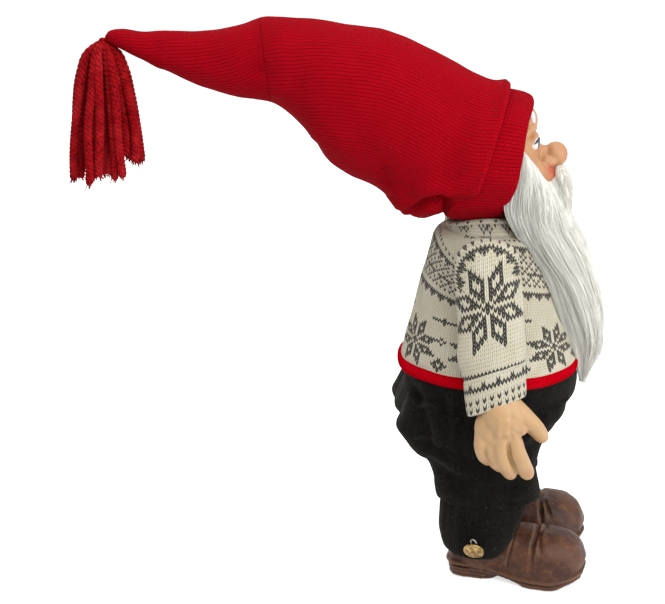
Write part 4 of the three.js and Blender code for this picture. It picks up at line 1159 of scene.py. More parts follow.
moustache = {
    "strands": 520,
    "steps": 12,
    "seed": 23,
    # the line down each half's middle from under the nose, and how far out it reaches
    "line": [(41.5, -3.2, 254.8), (43.5, -6.4, 251), (44.6, -10, 245), (44.8, -13, 238),
             (45.6, -14.8, 230), (48.5, -15, 221)],
    "radii": [2.8, 4.8, 5.3, 4.6, 3.2, 1.3],
}


def buildMoustache():
    rng = np.random.default_rng(moustache["seed"])
    steps = moustache["steps"]
    parts = []
    for side in (-1, 1):
        line = np.array(moustache["line"]) * [1, -side, 1]
        parts.append(limb(line, np.array(moustache["radii"]) * 0.9, 24, 8))
    mass = merged("moustache_mass", parts, 0.6, 4)
    points = meshPoints(mass)
    lift = 0.5 * noiseAt(points * [1, 1.6, 0.5], 3, 71)
    movePoints(mass, points + meshNormals(mass) * lift[:, None])
    dress(mass, moustacheFibre, "head", "beard_fibre", "moustache")
    paths, radii = [], []
    knots, t = np.arange(len(moustache["line"])), np.linspace(0, 1, steps)
    for side in (-1, 1):
        line = np.array(moustache["line"]) * [1, -side, 1]
        for _ in range(moustache["strands"] // 2):
            start = rng.uniform(0, 2.6)
            places = np.linspace(start, min(start + rng.uniform(1.6, 2.8), len(line) - 1), steps)
            middle = spline(knots, line, places)
            size = spline(knots, np.array(moustache["radii"]), places)
            along = unit(np.gradient(middle, axis=0))
            across = unit(np.cross(along, [1.0, 0, 0]))
            out = np.cross(across, along)
            angle = rng.uniform(0, 2 * math.pi) + 0.5 * t * rng.normal()
            reach = size * (0.86 + 0.12 * rng.random()) + rng.random() * 0.9 * t ** 2
            way = across * np.cos(angle)[:, None] + out * np.sin(angle)[:, None]
            paths.append(middle + way * reach[:, None])
            radii.append(0.19 * (1 - 0.7 * t))
    strands = tubes("moustache_strands", paths, radii, 3)
    dress(strands, moustacheFibre, "head", "beard_fibre")
    print("moustache built")


buildBeard()

moustacheFibre = grainMaterial(
    "moustacheFibre", colour(208, 206, 194), colour(234, 233, 225), (900, 4, 0.6, (1, 1, 0.12)), 0.4,
    roughness=0.75, specular=0.2, sheen=0.2, subsurface=0.3, subsurfaceScale=0.006, scatter=(1, 1, 0.9))
buildMoustache()


# Sweater: two-colour knitting with traditional stars, over the body and the arms

sweater = {
    "hem": 136,
    "shoulder": 218,
    "hemOval": (2, 54.3, 55.3),  # middle, half depth, half width
    "shoulderOval": (1.4, 33, 37.2),
    "round": 6,
    "neck": 24,
    "grid": 264,
    "columns": 132,  # stitches round the body
    "rowHeight": 1.7,
    "starEvery": 21,
    "droop": (12, 11, 14),  # of the rows: to the front, under the arm, and more of it at the shoulders
}
sleeve = {
    "pivot": (-4, 40.12, 205),
    "tilt": 13.545,
    "top": 15.3,
    "length": 62,
    "cuff": (61, 83),
    "columns": 96,
    "stitchWidth": 2.3,
    "rowHeight": 2.4,
    "lean": 5 / 76,
    "slant": 0.36,  # of the lower end, which is longer at the rear than in front
    "star": (-2.6, 26),  # its middle, ahead of the outer line and below the pivot
    # fall from the cuff's start, and reach out from its oval
    "cuffProfile": (
        (2.5, -3.2), (0.8, -2.2), (0, -0.7), (0.6, 0.4), (2.5, 0.9), (6, 1.0), (10, 0.9), (14, 0.7),
        (18, 0.5), (20.6, 0.2), (21.8, -0.7), (21.4, -2.0), (18, -2.5), (12, -2.6),
    ),
}
cream, creamShade = colour(226, 218, 192), colour(146, 134, 100)
blackYarn = colour(34, 34, 36)


def sweaterMaterial(name, pattern, depth=1.2):
    # pattern gives a field that is 1 where a stitch is of dark yarn
    material, tree, shader = newMaterial(
        name, roughness=0.95, specular=0.15, sheen=0.08, sheenRoughness=0.5)
    place = knitPlace(tree)
    stitch = useGroup(tree, knitStitches, Place=place, Slope=1.0, Roughness=0.45, Middle=0.8, Lines=0.5)
    fuzz = useGroup(tree, fibreFuzz, Place=place, Fine=7.0, Broad=0.15)
    dark = pattern(tree, stitch["Column"], stitch["Row"])
    # painted shade: the gaps between the cream legs are darkened, and the deepest gaps hold dark specks
    light = mixed(tree, stitch["Gap"] * 0.9, cream, creamShade)
    light = mixed(tree, stitch["Gap"].span(0.45, 0.8) * 0.9, light, colour(66, 58, 40))
    light = mixed(tree, fuzz["Cast"].span(0.4, 0.65) * 0.3, light, colour(238, 234, 222))
    # the light yarn behind shows between the dark legs
    deep = mixed(tree, stitch["Gap"].span(0.08, 0.42) * 0.9, blackYarn, colour(196, 188, 162))
    tree.links.new(mixed(tree, dark, light, deep), shader.inputs["Base Color"])
    relief(tree, shader, stitch["Height"] + (fuzz["Nap"] - 0.5) * 0.45, depth)
    return material


def diamond(column, row, size):
    return (column.away() + row.away()).between(size - 0.5, size + 0.5)


def teeth(tree, column, row):
    return useGroup(tree, toothedBand, Column=column, Row=row, Every=4.0)["Mask"]


def bodyPattern(tree, column, row):
    column = column.high(column * -1 - 1)  # counted both ways from the front
    every = sweater["starEvery"]
    across = (column - 5).wrap(every) - 10
    between = (column + 5).wrap(every) - 10
    star = useGroup(tree, eightPointStar, Column=across, Row=row - 9)["Mask"] * column.more(4.5)
    small = diamond(between, row - 12, 1) + diamond(between, row - 3, 1) + diamond(between, row - 3, 2)
    small = small + diamond(between, row - 20, 1) + row.between(19.5, 20.5) * between.away().less(4.5)
    band = teeth(tree, column, row - 30)
    lattice = (column + row).wrap(4).less(0.5) + (column - row).wrap(4).less(0.5)
    lattice = lattice * row.between(32.5, 43.5) * (column + row).wrap(2).less(0.5)
    dashes = row.between(36.5, 37.5) * column.wrap(8).less(4.5)
    upper = teeth(tree, column, row - 46)
    line = row.between(48.5, 49.5) * column.wrap(2).less(0.5)
    roseColumn = (column + 5).wrap(12) - 6
    rose = (diamond(roseColumn, row - 62, 2) + diamond(roseColumn, row - 62, 0)
            + diamond((column + 11).wrap(12) - 6, row - 63, 1)
            + diamond((column + 8).wrap(12) - 6, row - 61, 1))
    return (star + small + band + lattice + dashes + upper + line + rose).low(1.0)


def sleevePattern(tree, column, row):
    star = useGroup(tree, eightPointStar, Column=column, Row=row, Size=4.0)["Mask"]
    stripe = row.between(-16.5, -15.5)
    stitch = useGroup(tree, knitStitches, Place=knitPlace(tree, "Round"))
    ring = teeth(tree, stitch["Column"], stitch["Row"])
    dashes = stitch["Row"].between(1.5, 2.5) * stitch["Column"].wrap(2).less(0.5)
    zigzag = (ring + dashes) * row.more(5.5)
    return (star + stripe + zigzag).low(1.0)


def cuffPattern(tree, column, row):
    stripe = row.between(-5.5, -4.5) + row.between(-4.5, -3.5) * column.wrap(4).less(0.5)
    spots = column.wrap(2).less(0.5) * row.wrap(2).less(0.5)
    return (stripe + spots * row.less(-6.5)).low(1.0)


def collarPattern(tree, column, row):
    return (column.wrap(4).less(0.5) * row.wrap(3).less(0.5)).low(1.0)


def armPoints(side, local):
    tilt = side * math.radians(sleeve["tilt"])
    x, y, z = np.moveaxis(np.asarray(local, float), -1, 0)
    px, py, pz = sleeve["pivot"]
    return np.stack([
        x + px, side * py + y * math.cos(tilt) - z * math.sin(tilt),
        pz + y * math.sin(tilt) + z * math.cos(tilt),
    ], -1)


def buildSweaterBody():
    hem, shoulder, rounding = sweater["hem"], sweater["shoulder"], sweater["round"]
    heights = np.concatenate([np.linspace(hem, 208, 62), np.linspace(208, shoulder, 14)[1:]])
    columns = sweater["grid"]
    angle = circle(columns)
    rows = []
    lowOval, topOval = np.array(sweater["hemOval"]), np.array(sweater["shoulderOval"])
    for z in heights:
        share = (z - hem) / (shoulder - hem)
        middle, deep, wide = lowOval + (topOval - lowOval) * share
        over = np.clip((z - shoulder + rounding) / rounding, 0, 1)
        drawIn = rounding * (1 - math.sqrt(max(1 - over * over, 0)))
        rows.append(np.stack([
            middle + (deep - drawIn) * np.cos(angle), (wide - drawIn) * np.sin(angle),
            np.full(columns, z)], -1))
    top = rows[-1]
    neck = np.stack([sweater["neck"] * np.cos(angle), sweater["neck"] * np.sin(angle),
                     shoulder + 2.5 + 6 * np.sin(angle) ** 2], -1)
    for share in np.linspace(0, 1, 9)[1:]:  # over the shoulders to the neck
        ring = top + (neck - top) * share
        ring[:, 2] += 1.2 * math.sin(math.pi * share)
        rows.append(ring)
    grid = np.array(rows)
    normals = gridNormals(grid)
    lift = 0.9 * noiseAt(grid, 26, 21) + 0.35 * noiseAt(grid, 9, 22)
    # folds that run from under each arm towards the hem
    for side in (-1, 1):
        for x0, x1, depth in ((-18, -26, 1.7), (-30, -36, 1.0), (14, 24, 1.6), (24, 36, 0.9)):
            line = [(x0, side * 44, 190), ((x0 + x1) / 2, side * 47, 165), (x1, side * 45, 140)]
            lift += crease(grid, line, 5, depth, 0.3)
    lift = np.clip(lift, -2.2, 1.2) * (1 - ease(grid[..., 2], 204, 214))
    grid = grid + normals * lift[..., None]
    # stitches are counted from the front, both ways, and the rows run down towards the arms
    turn = np.arange(columns + 1) / columns
    u = np.where(turn > 0.5, turn - 1, turn) * sweater["columns"]
    up = rowPlaces(grid)[:, None]
    ahead, aside, more = sweater["droop"]
    cosine, sine = np.cos(2 * math.pi * turn)[None] ** 2, np.sin(2 * math.pi * turn)[None] ** 2
    share = np.clip(up / 52, 0, 1) ** 2
    front = (ahead * cosine - 2) * share
    rear = (aside * share + more * ease(up, 52, 76)) * sine
    toRear = ease(np.abs(u) / sweater["columns"] * 360, 80, 100)[None]
    v = (up + front * (1 - toRear) + rear * toRear) / sweater["rowHeight"]
    yoke = len(heights)  # its rows go straight round the neck and count from 60
    v[yoke:] = 60 + (up[yoke:] - up[yoke]) / sweater["rowHeight"]
    uvGrid = np.stack([np.broadcast_to(u, v.shape), v], -1)
    edge = grid[:1]
    turned = [edge * [share, share, 1] - [0, 0, rise] for share, rise in ((0.95, 2.0), (0.985, 2.5))]
    grid = np.concatenate([*turned, grid])
    uvGrid = np.concatenate([uvGrid[:1], uvGrid[:1], uvGrid])
    piece = skinPiece("sweater_body_knit", grid, uvGrid)
    dress(piece, bodyKnit, "torso", "sweater_knit", "sweater_body")
    # neckband
    ring = circle(90)
    band = np.array([np.stack([
        (22.6 + 2.8 * math.cos(t)) * np.cos(ring), (22.6 + 2.8 * math.cos(t)) * np.sin(ring),
        shoulder + 1.5 + 6.5 * np.sin(ring) ** 2 + 2.2 * math.sin(t)], -1) for t in circle(20)])
    piece = closedBand("sweater_neckband", band, 2.2, 1.7)
    dress(piece, collarKnit, "torso", "sweater_knit", "sweater_collar")


def buildHemTape():
    ring = circle(220)
    middle, deep, wide = sweater["hemOval"]
    rows = []
    for t in circle(26):
        out, up = 2.4 * squared(np.cos(t), 0.75), 3.6 * squared(np.sin(t), 0.75)
        z = 134.0 + up + 0.5 * np.sin(3 * ring + 0.5) + 0.3 * np.sin(7 * ring)
        rows.append(np.stack([
            middle + (deep - 0.6 + out) * np.cos(ring), (wide - 0.6 + out) * np.sin(ring), z], -1))
    material, tree, shader = newMaterial("hemTwill", roughness=1.0, specular=0.0, sheen=0.0)
    place = knitPlace(tree)
    u, v, _ = splitPlace(tree, place)
    rib = ((u + v * 0.9) * (2 * math.pi)).sine()
    thread = ((u * 0.35 - v * 3.0) * (2 * math.pi)).sine()
    fuzz = useGroup(tree, fibreFuzz, Place=place, Fine=3.0, Broad=0.08)
    # painted shade: the twill's grooves are darker than its ribs
    base = mixed(tree, rib.span(-1, 0.6), colour(150, 0, 12), colour(206, 2, 22))
    base = mixed(tree, fuzz["Cast"].span(0.4, 0.7) * 0.2, base, colour(232, 24, 44))
    tree.links.new(base, shader.inputs["Base Color"])
    relief(tree, shader, rib * 0.5 + thread * 0.18 + fuzz["Nap"] * 0.5, 0.6)
    piece = closedBand("sweater_hem_roll", np.array(rows), 1.9, 1.9)
    dress(piece, material, "torso", "hem_tape", "sweater_hem_tape")


def buildSleeve(sideName, side):
    # rings in the arm's own frame, from the shoulder's top to inside the cuff
    falls = np.array([-1, -0.93, -0.8, -0.55, -0.25, 0, 0.2, 0.4, 0.6, 0.8, 0.93, 1.04])
    wide = np.array([0.10, 0.4, 0.64, 0.86, 0.955, 0.985, 1.0, 1.01, 1.01, 1.0, 0.95, 0.85]) * 19.4
    deep = np.array([0.10, 0.42, 0.7, 0.9, 0.98, 1.0, 1.0, 1.0, 1.0, 1.0, 0.97, 0.88]) * 13.4
    z = np.where(falls < 0, -falls * sleeve["top"], -falls * sleeve["length"])
    places = np.linspace(z[0], z[-1], 76)
    halfX, halfY = spline(-z, np.stack([wide, deep], -1), -places).T
    angle = circle(sleeve["columns"])
    # the first column is the outer centre line
    cosine, sine = np.cos(angle), np.sin(angle)

    def settled(grid):  # leant ahead and slanted, as the arm hangs
        down = np.clip(-grid[..., 2], 0, None)
        grid[..., 2] += grid[..., 0] * sleeve["slant"] * np.clip(down / 62, 0, 1) ** 2
        grid[..., 0] += sleeve["lean"] * down
        return grid

    grid = settled(np.stack([
        np.outer(halfX, sine), side * (13.5 + np.outer(halfY, cosine)),
        np.broadcast_to(places[:, None], (len(places), len(angle))),
    ], -1))
    fall = -grid[..., 2]
    lift = 0.8 * noiseAt(grid, 22, 31 + side) + 0.35 * noiseAt(grid, 8, 33 + side)
    for x0, x1, down, depth in ((-16, -8, -6, 1.2), (-19, -10, -30, 0.9),
                                (12, 16, -16, 0.9), (8, 17, -44, 1.6)):
        line = [(x0, side * 26, down), ((x0 + x1) / 2, side * 27, down - 7), (x1, side * 26, down - 16)]
        lift += crease(grid, line, 4, depth, 0.3)
    inner = np.clip(-cosine, 0, 1)[None]  # the side towards the body keeps its form
    puff = 1.3 * bump(fall - 54, 6)  # over the cuff
    shaped = (lift * (1 - 0.8 * inner) + puff) * ease(places[0] - places, 0, 8)[:, None]
    u, _ = stitchPlaces(grid, sleeve["stitchWidth"], sleeve["rowHeight"])
    closed = np.concatenate([grid, grid[:, :1]], 1)
    ahead, starFall = sleeve["star"]
    # rows are counted from the star's middle and rise a little to the front
    fall = -closed[..., 2] + 0.3 * (closed[..., 0] - ahead)
    u = u - ahead / sleeve["stitchWidth"] + 0.5
    v = (starFall - fall) / sleeve["rowHeight"] + 0.5
    grid = grid + gridNormals(grid) * shaped[..., None]
    piece = skinPiece(f"{sideName}_sleeve_knit", armPoints(side, grid), np.stack([u, v], -1))
    # the band round the shoulder has its own stitches, on rings about the arm's pivot
    layer = piece.data.uv_layers.new(name="Round")
    points = meshPoints(piece)
    pivotX, _, pivotZ = sleeve["pivot"]
    dx, dz = points[:, 0] - pivotX, points[:, 2] - (pivotZ - 2)
    reach = np.hypot(dx, dz * 0.98)
    turn = np.arctan2(dx, dz)
    ring = np.stack([turn * 18 / 2.3, (reach - 16.3) / 1.6], -1)
    layer.data.foreach_set("uv", ring[loopVertices(piece)].ravel())
    dress(piece, sleeveKnit, f"{sideName}_arm", "sweater_knit", f"{sideName}_sleeve")
    # the cuff is a turned-up band that is a little wider than the sleeve's end
    rows, start = [], sleeve["cuff"][0]
    for down, reach in through(sleeve["cuffProfile"], 40):
        wave = 0.4 * np.sin(5 * angle + 1) * ease(down, 4, 18)
        rows.append(np.stack([
            (17.0 + reach + wave) * sine, side * (13.5 + (12.4 + reach + wave) * cosine),
            np.full(len(angle), -start - down)], -1))
    grid = settled(np.array(rows))
    u, _ = stitchPlaces(grid, sleeve["stitchWidth"], 1)
    going = np.broadcast_to(((2.2 - rowPlaces(grid)) / sleeve["rowHeight"])[:, None], u.shape)
    cuff = skinPiece(f"{sideName}_sleeve_cuff_knit", armPoints(side, grid), np.stack([u, going], -1))
    dress(cuff, cuffKnit, f"{sideName}_arm", "sweater_knit", f"{sideName}_sleeve_cuff")


bodyKnit = sweaterMaterial("bodyKnit", bodyPattern)
collarKnit = sweaterMaterial("collarKnit", collarPattern)
sleeveKnit = sweaterMaterial("sleeveKnit", sleevePattern, 1.3)
cuffKnit = sweaterMaterial("cuffKnit", cuffPattern, 1.3)
buildSweaterBody()
buildHemTape()
buildSleeve("right", -1)
buildSleeve("left", 1)
print("sweater built")


# Hands

hand = {
    "voxel": 0.62,
    # places are x, z and how far in from the outline at y = -78 and 78; then radii and sides
    "limbs": [
        ([(-7, 112, 1), (-7.5, 104, 0.5), (-5.5, 97, 3), (-2.5, 92.5, 7)], [4.4, 3.9, 3.5, 2.9], 18),
        ([(-2, 112, 1), (-1.5, 101, 1), (1, 94, 3), (4.5, 88.5, 7)], [4.6, 4.3, 3.9, 3.1], 18),
        ([(4, 112, 0), (4, 101, -0.5), (7, 92.5, 2), (11, 85, 6.5)], [5.2, 5.2, 5.0, 4.2], 18),
        ([(11, 112, 1), (13.6, 102, 0), (16.8, 94, 2), (20.8, 85.6, 6)], [5.2, 5.2, 5.2, 4.6], 18),
        ([(10, 129, 2.5), (18, 121, 4.5), (24.8, 113.8, 6.5), (29, 108, 8)], [6.6, 6.0, 5.3, 4.5], 18),
        ([(1, 145, 6.7), (1.6, 134, 4), (2.5, 126, 1.5), (3.5, 119, 0.5)], [8.3, 9.2, 10.4, 9.4], 28),
        ([(6, 134, 3), (9, 124, 1.5), (8, 116, 1.5)], [7.2, 8.4, 7.6], 24),
    ],
    "balls": [
        ((2, 115, 0.5), (13.0, 6.3, 11.5)), ((7, 118, 2), (11, 6.8, 10)),
        ((-3, 116, 1), (8.5, 6.2, 12)), ((13, 116, 3.5), (7.5, 6, 7.5)),
    ],
    # in x and z: grooves between the fingers and at the thumb with their depth, and the bones
    "grooves": [
        ([(8, 109), (9.4, 99), (14.4, 87)], 1.5), ([(0, 104), (1.4, 96), (5.6, 87.5)], 0.7),
        ([(-6, 106), (-4.6, 99), (-1, 93)], 0.9), ([(8.6, 118), (15, 113), (18.5, 108)], 0.8),
    ],
    "bones": [
        [(-4.5, 112), (-2, 121)], [(1.5, 113), (2, 123)], [(7.5, 113), (6, 123)],
        [(12.5, 113), (9, 122)],
    ],
    "tips": ((-3, 94), (6, 87), (13, 84), (22, 87), (28, 106)),  # where the skin is rosy
}


def buildHand(sideName, side, skin):
    def at(x, z, inward=0.0):
        return (x, side * (78 - inward), z)

    parts = [limb([at(*place) for place in line], radii, sides)
             for line, radii, sides in hand["limbs"]]
    parts += [ball(at(*middle), halves) for middle, halves in hand["balls"]]
    piece = merged(f"{sideName}_hand_skin", parts, hand["voxel"], 5)
    points, normals = meshPoints(piece), meshNormals(piece)
    flat = points[:, [0, 2]]
    lift = np.zeros(len(points))
    showing = ease(side * points[:, 1], 72, 76)
    for line, depth in hand["grooves"]:
        lift += crease(flat, line, 0.75, depth, 0.25) * showing
    outer = ease(side * points[:, 1], 76, 80)
    for bone in hand["bones"]:
        gap, _ = distanceTo(flat, bone)
        lift += 0.4 * bump(gap, 1.8) * outer - 0.2 * bump(gap - 3.2, 1.4) * outer
    movePoints(piece, points + normals * lift[:, None])
    dress(piece, skin, f"{sideName}_hand", "skin_vinyl", f"{sideName}_hand")


for sideName, side in bothSides:
    handSpots = [((x, side * 78, z), 5.5, 0.35) for x, z in hand["tips"]]
    handSkin = skinMaterial(
        sideName + "HandSkin", colour(174, 139, 98), colour(158, 92, 64), handSpots)
    buildHand(sideName, side, handSkin)
print("hands built")


# Trousers: black felted wool, bloused over a gathered band above each shoe

trousers = {
    "voxel": 1.0,
    "leftAhead": 5,  # how far the left foot stands ahead of the right one
    # height of a band's lower edge, its rise in front, and where that starts and how far it goes
    "bandLow": (19, 20, 2, 21),
    "bandTop": 54,
    # share of the way up from the lower edge, radius
    "bandProfile": (
        (0.06, 20), (-0.03, 22), (0, 23.8), (0.08, 25.2), (0.22, 26.6), (0.4, 27.4), (0.6, 27.2),
        (0.8, 26.8), (1.0, 26), (1.1, 24),
    ),
    # one leg from the crotch down: z, back, front, inner and outer y
    "leg": [
        (118, -49, 50, 4, 52), (108, -53, 48, 3, 53), (100, -56, 42, 1.5, 53),
        (91, -50, 36, 1, 52.5), (82, -42.8, 33.2, 1, 52), (74, -35.2, 32.2, 1, 51.5),
        (67, -32.2, 32.2, 1, 51.5), (61, -31.8, 33.4, 1, 52), (57, -31, 34, 1, 52),
        (54, -30, 33.6, 1.5, 51), (52, -28, 31.5, 3, 49), (51.2, -21, 25, 8, 43),
    ],
    # the seat: z, back, front, half width
    "seat": [
        (137, -48, 53.5, 51.5), (132, -50, 55.5, 53.5), (126, -50, 57.5, 55), (118, -51, 57, 55.5),
        (110, -54, 52, 54.5), (103, -56, 45.5, 52.5), (99, -50, 40, 46),
    ],
    # lines in x and z, width, depth
    "folds": [
        ([(-46, 128), (-41, 114), (-37, 100), (-36, 88)], 3.6, 4.2),
        ([(-30, 130), (-27, 114), (-26, 98), (-28, 80)], 3.6, 3.8),
        ([(-16, 126), (-18, 108), (-17, 90), (-14, 72)], 4.5, 2.8),
        ([(-46, 98), (-38, 92), (-26, 88)], 3.4, 2.2),
        ([(-42, 84), (-26, 74), (-8, 68)], 4.5, 2.6),
        ([(30, 118), (24, 104), (14, 92)], 5, 2.2),
        ([(44, 104), (30, 96), (18, 84), (12, 72)], 4.5, 2.2),
        ([(36, 76), (22, 70), (4, 66)], 4, 1.8),
        ([(-26, 70), (-12, 62), (0, 60)], 3.6, 1.8),
        ([(4, 60), (16, 56), (30, 58)], 3.4, 1.4),
        ([(50, 120), (46, 108), (38, 100)], 4, 1.4),
    ],
}


def woolMaterial(name):
    material, tree, shader = newMaterial(
        name, roughness=1.0, specular=0.08, sheen=0.2, sheenRoughness=0.45,
        sheenTint=colour(120, 116, 108))
    place = surfacePlace(tree)
    fuzz = useGroup(tree, fibreFuzz, Place=place, Fine=1500.0, Broad=70.0)
    weave = noiseField(tree, place, 420, 5, 0.75)
    lint = noiseField(tree, place, 900, 2, 0.5, (1, 0.25, 0.6)).span(0.72, 0.76)
    base = mixed(tree, weave.span(0.3, 0.75), colour(5, 5, 5), colour(24, 23, 20))
    base = mixed(tree, fuzz["Cast"].span(0.35, 0.7) * 0.4, base, colour(20, 19, 16))
    base = mixed(tree, lint * 0.35, base, colour(120, 115, 104))
    tree.links.new(base, shader.inputs["Base Color"])
    relief(tree, shader, weave + fuzz["Nap"] * 0.6, 0.55)
    return material


def buildTrousers():
    angle = circle(96)
    cosine, sine = np.cos(angle), np.sin(angle)
    table = np.array(trousers["leg"], float)
    order = -table[:, 0]
    places = np.linspace(order[0], order[-1], 60)
    back, front, inner, outer = spline(order, table[:, 1:], places).T
    parts = []
    for side in (-1, 1):
        rings = []
        for z, b, f, i, o in zip(-places, back, front, inner, outer):
            x = (b + f) / 2 + (f - b) / 2 * squared(cosine, 0.92)
            y = (i + o) / 2 + (o - i) / 2 * squared(sine, 0.85)
            x = x + trousers["leftAhead"] * (side > 0) * ease(-z, -75, -50)
            rings.append(np.stack([x, side * y, np.full(len(angle), z)], -1))
        parts.append(skinPiece("leg", np.array(rings)))
    seat = [np.concatenate([(b + f) / 2 + (f - b) / 2 * cosine, wide * sine, np.full(len(angle), z)])
            for z, b, f, wide in trousers["seat"]]
    parts.append(skinPiece("seat", through(seat, 30).reshape(30, 3, -1).swapaxes(1, 2)))
    piece = merged("trousers_wool", parts, trousers["voxel"], 6)
    points, normals = meshPoints(piece), meshNormals(piece)
    flat = points[:, [0, 2]]
    lift = 0.9 * noiseAt(points, 20, 41) + 0.5 * noiseAt(points * [1, 1, 0.45], 8, 42)
    outerShare = ease(np.abs(points[:, 1]), 14, 30)
    for line, width, depth in trousers["folds"]:
        lift += crease(flat, line, width, depth, 0.25) * outerShare
    turn = np.arctan2(points[:, 0] - 1, np.abs(points[:, 1]) - 26)
    gathers = np.sin(turn * 11 + 2 * noiseAt(points, 18, 43))
    lift += 0.7 * gathers * (1 - ease(points[:, 2], 46, 60))
    lift *= 1 - ease(points[:, 2], 126, 134)
    points[:, 1] += 2 * np.sign(points[:, 1]) * outerShare * ease(points[:, 2], 84, 100)
    movePoints(piece, points + normals * lift[:, None])
    dress(piece, wool, "torso", "trouser_wool",
          "trouser_seat", "right_trouser_leg", "left_trouser_leg")
    # bands
    angle = circle(120)
    low, rise, start, reachAhead = trousers["bandLow"]
    for sideName, side in bothSides:
        rings = []
        ahead = trousers["leftAhead"] * (side > 0)
        for share, radius in through(trousers["bandProfile"], 44):
            pleat = 0.45 * np.sin(9 * angle + 1) * share + 0.25 * np.sin(23 * angle) * share
            reach = radius + pleat
            x = reach * np.cos(angle)
            edge = low + rise * (np.clip(x - start, 0, None) / reachAhead) ** 2
            rings.append(np.stack([ahead - 0.6 + x, side * (26 + reach * np.sin(angle) * 0.98),
                                   edge + (trousers["bandTop"] - edge) * share], -1))
        grid = np.array(rings)
        lift = 0.5 * noiseAt(grid, 11, 44)
        for line, width, depth in (([(-15, 48), (-13, 38), (-12, 30)], 2.2, 2.4),
                                   ([(-9, 48), (-8, 40), (-9, 33)], 1.8, 1.6)):
            lift += crease(grid[..., [0, 2]], line, width, depth, 0.1)
        grid += gridNormals(grid) * lift[..., None]
        band = skinPiece(f"{sideName}_cuff_band_wool", grid)
        dress(band, wool, "torso", "trouser_wool", f"{sideName}_cuff_band")
    print("trousers built")


wool = woolMaterial("blackWool")
buildTrousers()


# Cuff buttons

button = {
    "turn": 16,  # degrees round to the rear
    "dip": 31,  # degrees that it faces down, as it lies on the band's lower edge
    # radius and height over the back, from the shank to the middle of the dome
    "profile": (
        (0, 0), (1.7, 0), (1.7, 1.4), (5.9, 1.5), (6.4, 1.9), (6.5, 2.6), (6.3, 3.3), (5.9, 3.6),
        (5.5, 3.4), (5.2, 3.1), (4.8, 3.3), (4.4, 3.7), (4.1, 3.8), (3.8, 3.6), (3.3, 3.9),
        (2.4, 4.5), (1.4, 4.9), (0.5, 5.05),
    ),
    # the thread loop over its rim: up past it, aside, out
    "loop": ((-1, -1.6, 0.4), (2.2, -1.5, 1.2), (4.4, 0, 1.4), (2.2, 1.5, 1.2), (-1, 1.6, 0.4)),
}


def buildButtons():
    material, tree, shader = newMaterial("agedBrass", roughness=0.38, metallic=1.0)
    place = surfacePlace(tree)
    tarnish = noiseField(tree, place, 420, 4, 0.7)
    base = mixed(tree, tarnish.span(0.35, 0.65), colour(176, 148, 98), colour(92, 72, 44))
    tree.links.new(base, shader.inputs["Base Color"])
    tree.links.new(tarnish.span(0.3, 0.7, 0.28, 0.55).socket, shader.inputs["Roughness"])
    relief(tree, shader, noiseField(tree, place, 700, 2), 0.12)
    angle = circle(72)
    turn, dip = math.radians(button["turn"]), math.radians(button["dip"])
    for sideName, side in bothSides:
        out = np.array([-math.sin(turn) * math.cos(dip), side * math.cos(turn) * math.cos(dip),
                        -math.sin(dip)])
        low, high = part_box(sideName + "_cuff_button")
        root = fromRow((low + high) / 2) - out * 2.6
        across = unit(np.cross(out, [0, 0, 1.0]))
        up = np.cross(across, out)
        rows = []
        for radius, reach in button["profile"]:
            petal = 0.14 * np.cos(8 * angle) * (1.5 < radius < 3.5)
            rows.append(root + out * (reach + petal)[:, None]
                        + radius * (across * np.cos(angle)[:, None] + up * np.sin(angle)[:, None]))
        piece = skinPiece(f"{sideName}_button_metal", np.array(rows))
        dress(piece, material, "torso", "button_brass", f"{sideName}_cuff_button")
        loop = [root + up * (5.8 + rise) + across * aside + out * lift
                for rise, aside, lift in button["loop"]]
        thread = tubes(f"{sideName}_button_loop", [through(loop, 25)], [np.full(25, 0.42)], 7)
        dress(thread, threadGrey, "torso", "trouser_wool")
    print("buttons built")


threadGrey = grainMaterial("greyThread", colour(96, 92, 88), colour(170, 166, 158),
                           (1500, 2, 0.5, (1, 1, 0.3)), roughness=0.8, sheen=0.3)
buildButtons()


# Shoes: cast and painted to look like worn brown leather

shoe = {
    "length": 85.5,
    "back": -20.5,
    "width": 45,
    "turn": {"right": 15, "left": 3},
    "ahead": {"right": 0, "left": 5},
    "middle": 23,  # from the middle plane
    # share of the length, half width share, top of the upper
    "stations": [
        (0, 0.34, 16.5), (0.03, 0.54, 19), (0.09, 0.66, 23.3), (0.22, 0.68, 34), (0.36, 0.71, 35),
        (0.52, 0.84, 33), (0.68, 1.0, 31.8), (0.8, 0.98, 31.5), (0.9, 0.84, 28.6), (0.96, 0.62, 24),
        (1.0, 0.28, 17),
    ],
}


